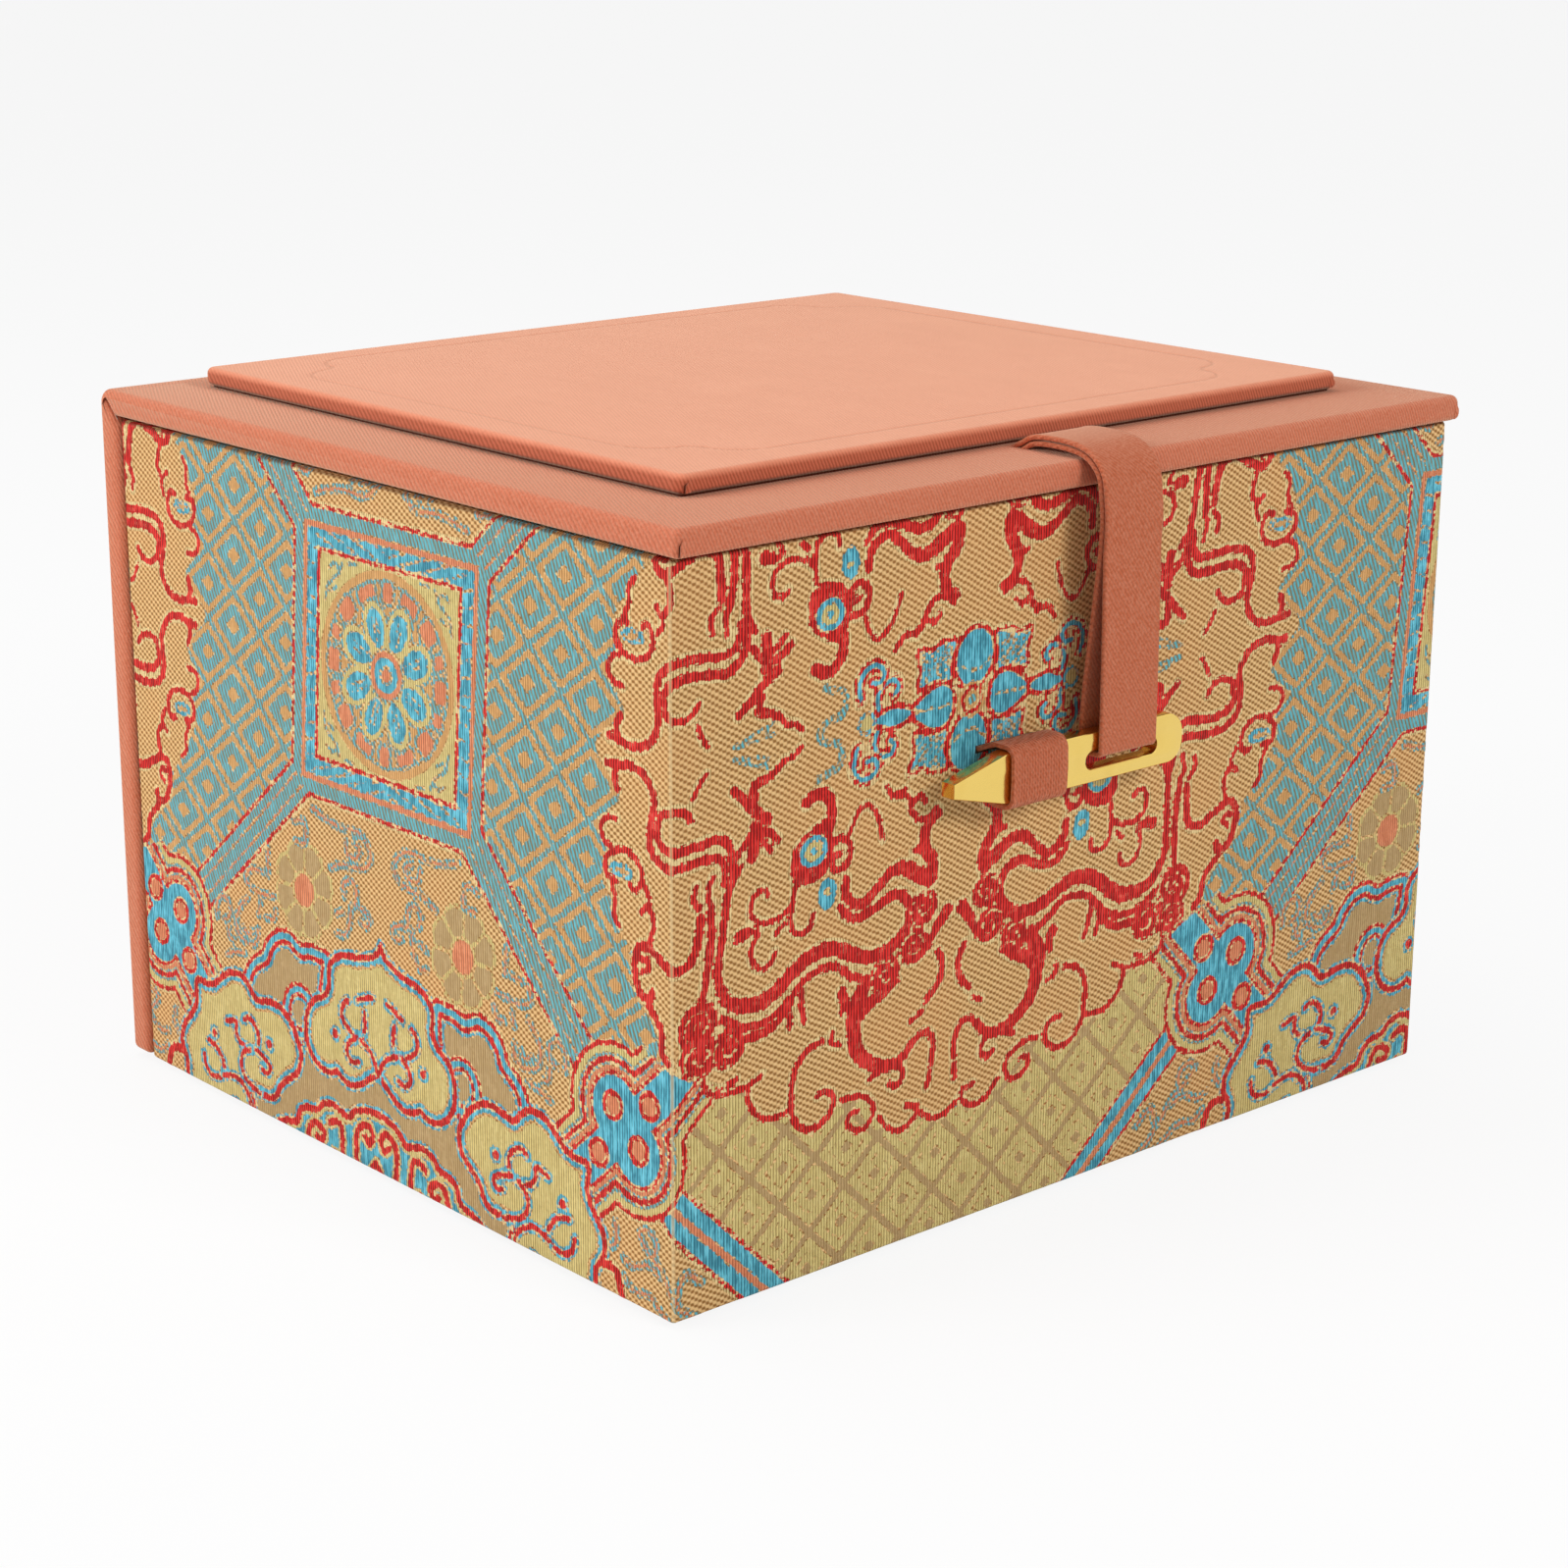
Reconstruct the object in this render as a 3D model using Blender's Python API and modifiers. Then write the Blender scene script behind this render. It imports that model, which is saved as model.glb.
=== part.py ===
"""Velvet gift box: a rigid box covered in brocade, with a cloth-covered lid and spine.

The lid has a raised panel, and a doubled cloth strap that ends in a brass toggle. The
toggle is pushed through a cloth loop on the front wall. The inside is lined with velvet.

Metres, +Z up, front towards -Y. The origin is the middle of the underside.
"""

import math

import bmesh
import bpy
import numpy as np
from mathutils import Vector

# Body of the box
BODY_WIDTH = 0.150
BODY_DEPTH = 0.1275
BODY_HEIGHT = 0.1013
CORNER_ROUND = 0.0010
WALL_BOARD = 0.0025
BASE_BOARD = 0.0025
BROCADE = 0.0004
RIM_TURN_IN = 0.010
BASE_TURN_IN = 0.015
BASE_SHEET = 0.0005
BASE_SHEET_INSET = 0.003
GLUE_GAP = 0.0003

# Velvet lining
LINING = 0.0016
LINING_DROP = 0.004
FLOOR_CARD = 0.0012
FLOOR_CUSHION = 0.007
FLOOR_CROWN = 0.003
CUSHION_CLEARANCE = 0.0008
CUSHION_DRAW_IN = 0.0012

# Lid and spine
CLOTH = 0.0004
LID_THICKNESS = 0.0038
LID_SIDE_OVERHANG = 0.0005
LID_FRONT_OVERHANG = 0.0020
LID_REST_GAP = 0.0003
LID_TURN_IN = 0.010
SPINE_THICKNESS = 0.0048
SPINE_LIFT = 0.0010
COVER_ROUND = 0.0009
MITRE_GAP = 0.0002
HINGE_STRIP = 0.0028
HINGE_LINING = 0.0002
HINGE_LINING_FOLD = 0.0001
HINGE_LINING_TOP_FLAP = 0.0070
HINGE_LINING_RIM_FLAP = 0.0040
LID_CARD = 0.0012
LID_PAD = 0.0025
LID_PAD_CROWN = 0.0015
LID_PAD_CLEARANCE = 0.0015

# Raised panel, inset from the edges of the lid
PANEL_THICKNESS = 0.0027
PANEL_LEFT_INSET = 0.0126
PANEL_RIGHT_INSET = 0.0112
PANEL_FRONT_INSET = 0.0143
PANEL_BACK_INSET = 0.0092

# Strap: a tape folded double
STRAP_WIDTH = 0.0110
STRAP_TAPE = 0.0006
STRAP_LAYER_GAP = 0.0003
STRAP_ANCHOR = 0.0080
STRAP_SINK = 0.0013
STRAP_ARCH = 0.0016
STRAP_MOUTH = 0.0050
STRAP_STANDOFF = 0.0045
STRAP_BOW = 0.0080
STRAP_DROP = 0.0392
# How the strap falls over the lid's edge: share of its standoff, and share of its bow
STRAP_FALL = ((0.39, -0.02), (0.79, 0.22), (0.93, 0.58), (1.0, 1.0), (0.96, 1.5))
# How its layers draw in to the toggle: share of the way down, and share of the way across
REAR_LEAN = ((0.35, 0.38), (0.75, 0.82))
FRONT_LEAN = ((0.5, 0.7),)
POCKET_CLEARANCE = 0.0004

# Toggle: a flat brass bar with a slot at one end and a tapered tip at the other
TOGGLE_LENGTH = 0.0440
TOGGLE_HEIGHT = 0.0070
TOGGLE_THICKNESS = 0.0026
TOGGLE_TAPER = 0.0098
TOGGLE_TIP_HEIGHT = 0.0020
TOGGLE_END_ROUND = 0.0030
TOGGLE_EDGE_ROUND = 0.00025
SLOT_LENGTH = 0.0142
SLOT_HEIGHT = 0.0024
SLOT_DROP = 0.0004
SLOT_END_WALL = 0.0051
TOGGLE_STANDOFF = 0.0035
TAPE_CLEARANCE = 0.0003

# Loop that holds the toggle
LOOP_WIDTH = 0.0103
LOOP_TIP_OFFSET = 0.0099
LOOP_CORNER = 0.0011
LOOP_DRAW_IN = 0.0013
LOOP_DEPTH_IN_WALL = 0.0022
SLIT_CLEARANCE = 0.0003

# Places worked out from the sizes
HALF_WIDTH = BODY_WIDTH / 2
HALF_DEPTH = BODY_DEPTH / 2
WRAP_BOTTOM = BASE_SHEET + GLUE_GAP
BOARD_OFFSET = BROCADE + GLUE_GAP
BASE_BOTTOM = WRAP_BOTTOM + BROCADE + GLUE_GAP
BASE_TOP = BASE_BOTTOM + BASE_BOARD
WALL_BOTTOM = BASE_TOP + GLUE_GAP
WALL_TOP = BODY_HEIGHT - BOARD_OFFSET
WALL_INNER = BOARD_OFFSET + WALL_BOARD
RIM_WIDTH = WALL_INNER + GLUE_GAP + BROCADE
LINING_OFFSET = RIM_WIDTH + GLUE_GAP
LINING_INNER = LINING_OFFSET + LINING
LID_BOTTOM = BODY_HEIGHT + LID_REST_GAP
LID_TOP = LID_BOTTOM + LID_THICKNESS
LID_HALF_WIDTH = HALF_WIDTH + LID_SIDE_OVERHANG
LID_FRONT = -HALF_DEPTH - LID_FRONT_OVERHANG
SPINE_IN = HALF_DEPTH + GLUE_GAP
SPINE_OUT = SPINE_IN + SPINE_THICKNESS
COVER_OFFSET = CLOTH + GLUE_GAP
PANEL_BOTTOM = LID_TOP + GLUE_GAP
PANEL_TOP = PANEL_BOTTOM + PANEL_THICKNESS
PANEL_FRONT = LID_FRONT + PANEL_FRONT_INSET
TOGGLE_BACK = -HALF_DEPTH - TOGGLE_STANDOFF
TOGGLE_FRONT = TOGGLE_BACK - TOGGLE_THICKNESS
SLOT_TOP = LID_TOP - STRAP_DROP
SLOT_CENTRE = SLOT_TOP - SLOT_HEIGHT / 2
TOGGLE_CENTRE = SLOT_CENTRE + SLOT_DROP
TOGGLE_RIGHT = SLOT_LENGTH / 2 - GLUE_GAP + SLOT_END_WALL
TOGGLE_LEFT = TOGGLE_RIGHT - TOGGLE_LENGTH

MERGE_DISTANCE = 0.00001
CURVE_STEPS = 4


def start_clean():
    """Remove the objects of the open scene and make the two collections."""
    for old in list(bpy.data.objects):
        bpy.data.objects.remove(old, do_unlink=True)
    collections = []
    for name in ("velvet_gift_box", "cutters"):
        collection = bpy.data.collections.new(name)
        bpy.context.scene.collection.children.link(collection)
        collections.append(collection)
    return collections


PARTS, CUTTERS = start_clean()


def make_material(name, colour, roughness, metallic=0.0):
    """A Principled material with one plain colour."""
    material = bpy.data.materials.new(name)
    material.use_nodes = True
    shader = material.node_tree.nodes["Principled BSDF"]
    shader.inputs["Base Color"].default_value = (*colour, 1.0)
    shader.inputs["Roughness"].default_value = roughness
    shader.inputs["Metallic"].default_value = metallic
    return material


GREYBOARD = make_material("greyboard", (0.36, 0.33, 0.29), 0.9)
BROCADE_CLOTH = make_material("brocade", (0.53, 0.36, 0.15), 0.6)
COVER_CLOTH = make_material("salmon_cloth", (0.72, 0.27, 0.16), 0.85)
PANEL_CLOTH = make_material("panel_velvet", (0.86, 0.44, 0.29), 0.95)
LINING_VELVET = make_material("lining_velvet", (0.60, 0.20, 0.12), 0.95)
PAPER = make_material("base_paper", (0.30, 0.16, 0.10), 0.9)
BRASS = make_material("brass", (0.83, 0.58, 0.17), 0.2, 1.0)


def add_object(name, mesh, material=None, parent=None, at=(0.0, 0.0, 0.0), cutter=False):
    """Link a mesh as a named part, or as a cutter that no render shows."""
    obj = bpy.data.objects.new(name, mesh)
    (CUTTERS if cutter else PARTS).objects.link(obj)
    if material:
        mesh.materials.append(material)
    if cutter:
        obj.hide_render = True
        obj.display_type = "WIRE"
    obj.location = at
    if parent:
        obj.parent = parent
        obj.location = Vector(at) - parent_place(parent)
    return obj


def parent_place(empty):
    """World place of an empty, found by adding up the chain above it."""
    place = Vector(empty.location)
    while empty.parent:
        empty = empty.parent
        place += Vector(empty.location)
    return place


def add_pivot(name, at, parent=None):
    """An empty on a joint's axis, which carries the pieces that turn about it."""
    pivot = bpy.data.objects.new(name, None)
    PARTS.objects.link(pivot)
    pivot.location = Vector(at) - (parent_place(parent) if parent else Vector())
    pivot.parent = parent
    return pivot


def slab(name, low, high, material=None, parent=None, cutter=False, mitre=None):
    """A rectangular board between two corners.

    mitre is (side_y, side_z, move): the long edge on that side is moved by that much.
    """
    low, high = Vector(low), Vector(high)
    mesh = bpy.data.meshes.new(name)
    form = bmesh.new()
    bmesh.ops.create_cube(form, size=1.0)
    bmesh.ops.scale(form, vec=high - low, verts=form.verts)
    if mitre:
        side_y, side_z, move = mitre
        edge = [v for v in form.verts if v.co.y * side_y > 0 and v.co.z * side_z > 0]
        bmesh.ops.translate(form, vec=move, verts=edge)
    form.to_mesh(mesh)
    form.free()
    return add_object(name, mesh, material, parent, (low + high) / 2, cutter)


def bevel(obj, width, segments=2):
    """Round the sharp edges of an object."""
    modifier = obj.modifiers.new("round_edges", "BEVEL")
    modifier.width = width
    modifier.segments = segments
    modifier.limit_method = "ANGLE"
    modifier.angle_limit = math.radians(35)
    return modifier


def cut(obj, *cutters):
    """Take each cutter out of an object."""
    for cutter in cutters:
        modifier = obj.modifiers.new("cut_" + cutter.name, "BOOLEAN")
        modifier.operation = "DIFFERENCE"
        modifier.solver = "EXACT"
        modifier.object = cutter


def wrapped_cover(name, low, high, opening, material, parent, mitre=None, run_out=(0, 0, 0)):
    """Cloth wrapped round a board: a thin skin with its turned-in edges.

    opening is the pair of corners of the bare patch that the turned-in cloth leaves.
    A mitred cover is open at the mitre: run_out carries its hollow out past that edge.
    """
    inset = Vector((CLOTH, CLOTH, CLOTH))
    skin = slab(name, low, high, material, parent, mitre=mitre)
    bevel(skin, COVER_ROUND)
    hollow = slab(name + "_hollow", Vector(low) + inset, Vector(high) - inset + Vector(run_out),
                  cutter=True)
    bevel(hollow, COVER_ROUND - CLOTH)
    patch = slab(name + "_patch", *opening, cutter=True)
    cut(skin, hollow, patch)
    return skin


def ribbon(name, path, centre_x, width, thickness, material, parent=None):
    """A flat tape that follows a path of (y, z) points, with its width along X."""
    mesh = bpy.data.meshes.new(name)
    form = bmesh.new()
    sides = []
    for x in (centre_x - width / 2, centre_x + width / 2):
        sides.append([form.verts.new((x, y, z)) for y, z in path])
    for start in range(len(path) - 1):
        left, right = sides
        form.faces.new((left[start], right[start], right[start + 1], left[start + 1]))
    form.to_mesh(mesh)
    form.free()
    tape = add_object(name, mesh, material)
    solid = tape.modifiers.new("tape_thickness", "SOLIDIFY")
    solid.thickness = thickness
    solid.offset = 0.0
    if parent:
        mesh.transform(tape.matrix_world.Translation(-parent_place(parent)))
        tape.parent = parent
    return tape


def arc(centre, radius, start, end, steps):
    """Points (y, z) on an arc, from one angle to another in degrees."""
    angles = np.radians(np.linspace(start, end, steps + 1))
    return [(centre[0] + radius * math.cos(a), centre[1] + radius * math.sin(a)) for a in angles]


def smooth_curve(points, steps):
    """Points of a Catmull-Rom curve through the given ones."""
    ends = [2 * np.array(points[0]) - points[1], 2 * np.array(points[-1]) - points[-2]]
    knots = [ends[0], *[np.array(p) for p in points], ends[1]]
    curve = []
    for a, b, c, d in zip(knots, knots[1:], knots[2:], knots[3:]):
        for t in np.arange(steps) / steps:
            bend = 2 * a - 5 * b + 4 * c - d
            twist = 3 * b - a - 3 * c + d
            curve.append(0.5 * (2 * b + (c - a) * t + bend * t ** 2 + twist * t ** 3))
    curve.append(knots[-2])
    return np.array(curve)


def offset_curve(curve, distance):
    """The curve moved sideways, to the left of its direction of travel."""
    run = np.gradient(curve, axis=0)
    run /= np.linalg.norm(run, axis=1)[:, None]
    return curve + distance * np.stack([-run[:, 1], run[:, 0]], axis=1)


def cushion(name, centre, size, height, crown, up, parent=None):
    """A velvet pad with a flat back, a crowned face and sides drawn in between corners.

    centre is the middle of its flat back, and up is 1 or -1, the way the crown faces.
    """
    mesh = bpy.data.meshes.new(name)
    form = bmesh.new()
    bmesh.ops.create_cube(form, size=2.0)
    bmesh.ops.subdivide_edges(form, edges=form.edges, cuts=5, use_grid_fill=True)
    half_x, half_y = size[0] / 2, size[1] / 2
    for vert in form.verts:
        u, v, w = vert.co
        swell = (1 - u * u) * (1 - v * v)
        draw_x = CUSHION_DRAW_IN * (1 - v * v) * (1 - w * w)
        draw_y = CUSHION_DRAW_IN * (1 - u * u) * (1 - w * w)
        rise = (w + 1) / 2 * (height + crown * swell)
        vert.co = (u * (half_x - draw_x), v * (half_y - draw_y), up * rise)
    if up < 0:
        bmesh.ops.reverse_faces(form, faces=form.faces)
    form.to_mesh(mesh)
    form.free()
    mesh.shade_smooth()
    pad = add_object(name, mesh, LINING_VELVET, parent, centre)
    softness = pad.modifiers.new("softness", "SUBSURF")
    softness.levels = softness.render_levels = 1
    return pad


def loop_slits():
    """The two slits in the front wall that the ends of the toggle's loop pass through."""
    slits = []
    depth = WALL_INNER + RIM_WIDTH
    heights = (loop_top() - LOOP_DRAW_IN, loop_bottom() + LOOP_DRAW_IN)
    for name, height in zip(("slit_upper", "slit_lower"), heights):
        half = STRAP_TAPE / 2 + SLIT_CLEARANCE
        left, right = loop_sides()
        low = (left - SLIT_CLEARANCE, -HALF_DEPTH - depth, height - half)
        high = (right + SLIT_CLEARANCE, -HALF_DEPTH + WALL_INNER + GLUE_GAP / 2, height + half)
        slits.append(slab(name, low, high, cutter=True))
    return slits


def loop_top():
    """Height of the middle of the tape above the toggle."""
    return TOGGLE_CENTRE + TOGGLE_HEIGHT / 2 + TAPE_CLEARANCE + STRAP_TAPE / 2


def loop_bottom():
    """Height of the middle of the tape below the toggle."""
    return TOGGLE_CENTRE - TOGGLE_HEIGHT / 2 - TAPE_CLEARANCE - STRAP_TAPE / 2


def loop_sides():
    """Left and right edges of the loop."""
    left = TOGGLE_LEFT + LOOP_TIP_OFFSET
    return left, left + LOOP_WIDTH


def build_base():
    """Paper under the box and the board that the walls stand on."""
    inset = Vector((BASE_SHEET_INSET, BASE_SHEET_INSET, 0.0))
    corner = Vector((HALF_WIDTH, HALF_DEPTH, 0.0))
    slab("base_sheet", -corner + inset, corner - inset + Vector((0, 0, BASE_SHEET)), PAPER)
    edge = Vector((BOARD_OFFSET, BOARD_OFFSET, 0.0))
    slab("base_board", -corner + edge + Vector((0, 0, BASE_BOTTOM)),
         corner - edge + Vector((0, 0, BASE_TOP)), GREYBOARD)


def build_walls(slits):
    """Four boards that stand on the base, the side ones between the front and the back."""
    x = HALF_WIDTH - BOARD_OFFSET
    y = HALF_DEPTH - BOARD_OFFSET
    front = slab("wall_front", (-x, -y, WALL_BOTTOM), (x, -y + WALL_BOARD, WALL_TOP), GREYBOARD)
    cut(front, *slits)
    slab("wall_back", (-x, y - WALL_BOARD, WALL_BOTTOM), (x, y, WALL_TOP), GREYBOARD)
    side = y - WALL_BOARD - GLUE_GAP
    slab("wall_left", (-x, -side, WALL_BOTTOM), (-x + WALL_BOARD, side, WALL_TOP), GREYBOARD)
    slab("wall_right", (x - WALL_BOARD, -side, WALL_BOTTOM), (x, side, WALL_TOP), GREYBOARD)


def build_brocade(slits):
    """One brocade wrap: round the walls, over the rim and under the edge of the base."""
    mesh = bpy.data.meshes.new("brocade_wrap")
    form = bmesh.new()
    bmesh.ops.create_cube(form, size=1.0)
    height = BODY_HEIGHT - WRAP_BOTTOM
    bmesh.ops.scale(form, vec=(BODY_WIDTH, BODY_DEPTH, height), verts=form.verts)
    ends = [face for face in form.faces if abs(face.normal.z) > 0.5]
    bmesh.ops.delete(form, geom=ends, context="FACES_ONLY")
    upright = [e for e in form.edges if abs(e.verts[0].co.z - e.verts[1].co.z) > height / 2]
    bmesh.ops.bevel(form, geom=upright, offset=CORNER_ROUND, segments=3, affect="EDGES",
                    profile=0.5)

    def turn(edges, inward, down):
        """Carry an open edge loop inwards and down, and return the new loop."""
        carried = bmesh.ops.extrude_edge_only(form, edges=edges)["geom"]
        scale = Vector((1 - 2 * inward / BODY_WIDTH, 1 - 2 * inward / BODY_DEPTH, 1.0))
        for vert in (g for g in carried if isinstance(g, bmesh.types.BMVert)):
            vert.co = Vector((vert.co.x * scale.x, vert.co.y * scale.y, vert.co.z - down))
        return [g for g in carried if isinstance(g, bmesh.types.BMEdge)]

    def open_edges(level):
        """Boundary edges at one height."""
        return [e for e in form.edges if e.is_boundary
                and all(abs(v.co.z - level) < MERGE_DISTANCE for v in e.verts)]

    rim = turn(open_edges(height / 2), RIM_WIDTH, 0.0)
    turn(rim, 0.0, RIM_TURN_IN)
    turn(open_edges(-height / 2), BASE_TURN_IN, 0.0)
    bmesh.ops.recalc_face_normals(form, faces=form.faces)
    form.to_mesh(mesh)
    form.free()
    wrap = add_object("brocade_wrap", mesh, BROCADE_CLOTH, at=(0, 0, WRAP_BOTTOM + height / 2))
    skin = wrap.modifiers.new("cloth_thickness", "SOLIDIFY")
    skin.thickness = BROCADE
    skin.offset = -1.0
    skin.use_even_offset = True
    cut(wrap, *slits)


def build_lining():
    """Velvet-covered cards inside the walls, and a velvet cushion on the floor."""
    x_out = HALF_WIDTH - LINING_OFFSET
    y_out = HALF_DEPTH - LINING_OFFSET
    x_in = HALF_WIDTH - LINING_INNER
    y_in = HALF_DEPTH - LINING_INNER
    low = WALL_BOTTOM
    top = BODY_HEIGHT - LINING_DROP
    side = y_in - GLUE_GAP
    slab("lining_front", (-x_out, -y_out, low), (x_out, -y_in, top), LINING_VELVET)
    slab("lining_back", (-x_out, y_in, low), (x_out, y_out, top), LINING_VELVET)
    slab("lining_left", (-x_out, -side, low), (-x_in, side, top), LINING_VELVET)
    slab("lining_right", (x_in, -side, low), (x_out, side, top), LINING_VELVET)
    x_card = x_in - GLUE_GAP
    y_card = y_in - GLUE_GAP
    slab("floor_card", (-x_card, -y_card, low), (x_card, y_card, low + FLOOR_CARD), GREYBOARD)
    size = (2 * (x_in - CUSHION_CLEARANCE), 2 * (y_in - CUSHION_CLEARANCE))
    cushion("floor_cushion", (0, 0, low + FLOOR_CARD + GLUE_GAP), size, FLOOR_CUSHION,
            FLOOR_CROWN, 1)


def hinge_recess():
    """Two cutters that clear the corner for the strip of hinge cloth: lid's and spine's."""
    reach = LID_HALF_WIDTH + COVER_ROUND
    past = HINGE_STRIP
    strip = HINGE_STRIP + GLUE_GAP
    over = slab("hinge_recess_top", (-reach, SPINE_OUT - strip, LID_TOP - COVER_OFFSET),
                (reach, SPINE_OUT + past, LID_TOP + past), cutter=True)
    behind = slab("hinge_recess_back", (-reach, SPINE_OUT - COVER_OFFSET, LID_TOP - strip),
                  (reach, SPINE_OUT + past, LID_TOP + past), cutter=True)
    return over, behind


def build_spine(recess_back):
    """The back board in its cloth, glued to the back wall and mitred to meet the lid."""
    x = LID_HALF_WIDTH
    top = LID_TOP - MITRE_GAP
    patch = ((-x + LID_TURN_IN, SPINE_IN - CLOTH, SPINE_LIFT + LID_TURN_IN),
             (x - LID_TURN_IN, SPINE_IN + COVER_OFFSET, LID_TOP))
    cover = wrapped_cover("spine_cover", (-x, SPINE_IN, SPINE_LIFT), (x, SPINE_OUT, top), patch,
                          COVER_CLOTH, None, (-1, 1, (0, 0, -SPINE_THICKNESS)),
                          (0, 0, SPINE_THICKNESS))
    cut(cover, recess_back)
    board_top = top - COVER_OFFSET
    board = SPINE_THICKNESS - 2 * COVER_OFFSET
    slab("spine_board", (-x + COVER_OFFSET, SPINE_IN + COVER_OFFSET, SPINE_LIFT + COVER_OFFSET),
         (x - COVER_OFFSET, SPINE_OUT - COVER_OFFSET, board_top), GREYBOARD,
         mitre=(-1, 1, (0, 0, -board)))


def build_lid(pivot, recess_top, pocket):
    """The lid board in its cloth, mitred along the back."""
    x = LID_HALF_WIDTH
    back = SPINE_OUT - MITRE_GAP
    patch = ((-x + LID_TURN_IN, LID_FRONT + LID_TURN_IN, LID_BOTTOM - CLOTH),
             (x - LID_TURN_IN, SPINE_OUT, LID_BOTTOM + COVER_OFFSET))
    cover = wrapped_cover("lid_cover", (-x, LID_FRONT, LID_BOTTOM), (x, back, LID_TOP), patch,
                          COVER_CLOTH, pivot, (1, -1, (0, -LID_THICKNESS, 0)),
                          (0, LID_THICKNESS, 0))
    cut(cover, pocket, recess_top)
    board = slab("lid_board", (-x + COVER_OFFSET, LID_FRONT + COVER_OFFSET, LID_BOTTOM + COVER_OFFSET),
                 (x - COVER_OFFSET, back - COVER_OFFSET, LID_TOP - COVER_OFFSET), GREYBOARD, pivot,
                 mitre=(1, -1, (0, -LID_THICKNESS + 2 * COVER_OFFSET, 0)))
    cut(board, pocket)


def build_hinge():
    """Cloth that bends at the outer corner, and a lining folded between lid and rim."""
    x = LID_HALF_WIDTH
    bend = COVER_ROUND - CLOTH / 2
    out_y = SPINE_OUT - CLOTH / 2
    out_z = LID_TOP - CLOTH / 2
    path = [(SPINE_OUT - HINGE_STRIP, out_z)]
    path += arc((out_y - bend, out_z - bend), bend, 90, 0, 4)
    path += [(out_y, LID_TOP - HINGE_STRIP)]
    ribbon("hinge_cloth", path, 0.0, 2 * x, CLOTH, COVER_CLOTH)

    half = HINGE_LINING / 2
    lower = BODY_HEIGHT + GLUE_GAP + half
    upper = lower + HINGE_LINING + HINGE_LINING_FOLD
    turn = (upper - lower) / 2
    fold = HALF_DEPTH + GLUE_GAP
    path = [(fold - HINGE_LINING_RIM_FLAP, lower)]
    path += arc((fold, lower + turn), turn, -90, 90, 6)
    path += [(fold - HINGE_LINING_TOP_FLAP, upper)]
    width = 2 * (x - LID_TURN_IN - GLUE_GAP)
    ribbon("hinge_lining", path, 0.0, width, HINGE_LINING, LINING_VELVET)


def build_panel(pivot):
    """The raised board on the lid, in its velvety cloth."""
    left = -LID_HALF_WIDTH + PANEL_LEFT_INSET
    right = LID_HALF_WIDTH - PANEL_RIGHT_INSET
    back = SPINE_OUT - PANEL_BACK_INSET
    patch = ((left + LID_TURN_IN, PANEL_FRONT + LID_TURN_IN, PANEL_BOTTOM - CLOTH),
             (right - LID_TURN_IN, back - LID_TURN_IN, PANEL_BOTTOM + COVER_OFFSET))
    wrapped_cover("panel_cover", (left, PANEL_FRONT, PANEL_BOTTOM), (right, back, PANEL_TOP),
                  patch, PANEL_CLOTH, pivot)
    inset = Vector((COVER_OFFSET, COVER_OFFSET, COVER_OFFSET))
    slab("panel_board", Vector((left, PANEL_FRONT, PANEL_BOTTOM)) + inset,
         Vector((right, back, PANEL_TOP)) - inset, GREYBOARD, pivot)


def build_lid_lining(pivot):
    """A card and a velvet pad under the lid, which drop inside the walls."""
    x = HALF_WIDTH - LINING_INNER - LID_PAD_CLEARANCE
    y = HALF_DEPTH - LINING_INNER - LID_PAD_CLEARANCE
    top = LID_BOTTOM - GLUE_GAP
    slab("lid_lining_card", (-x, -y, top - LID_CARD), (x, y, top), GREYBOARD, pivot)
    cushion("lid_pad", (0, 0, top - LID_CARD - GLUE_GAP), (2 * x, 2 * y), LID_PAD,
            LID_PAD_CROWN, -1, pivot)


def strap_middle():
    """Middle line of the doubled strap, from its anchor under the panel to below the lid.

    Returns the curve and the number of its points that lie on the lid.
    """
    half = STRAP_TAPE + STRAP_LAYER_GAP / 2
    sunk = LID_TOP - STRAP_SINK
    crest = LID_TOP + STRAP_ARCH
    low_arch = (sunk + crest) / 2
    reach = STRAP_STANDOFF - half / 2
    on_lid = [(PANEL_FRONT + STRAP_ANCHOR, sunk), (PANEL_FRONT + half, sunk),
              (PANEL_FRONT - STRAP_MOUTH / 2, low_arch), (PANEL_FRONT - STRAP_MOUTH, crest - half / 3),
              ((PANEL_FRONT - STRAP_MOUTH + LID_FRONT) / 2, crest), (LID_FRONT + half, crest - half / 2)]
    off_lid = [(LID_FRONT - reach * out, LID_TOP - STRAP_BOW * down) for out, down in STRAP_FALL]
    return smooth_curve(on_lid + off_lid, CURVE_STEPS), (len(on_lid) - 1) * CURVE_STEPS


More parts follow.
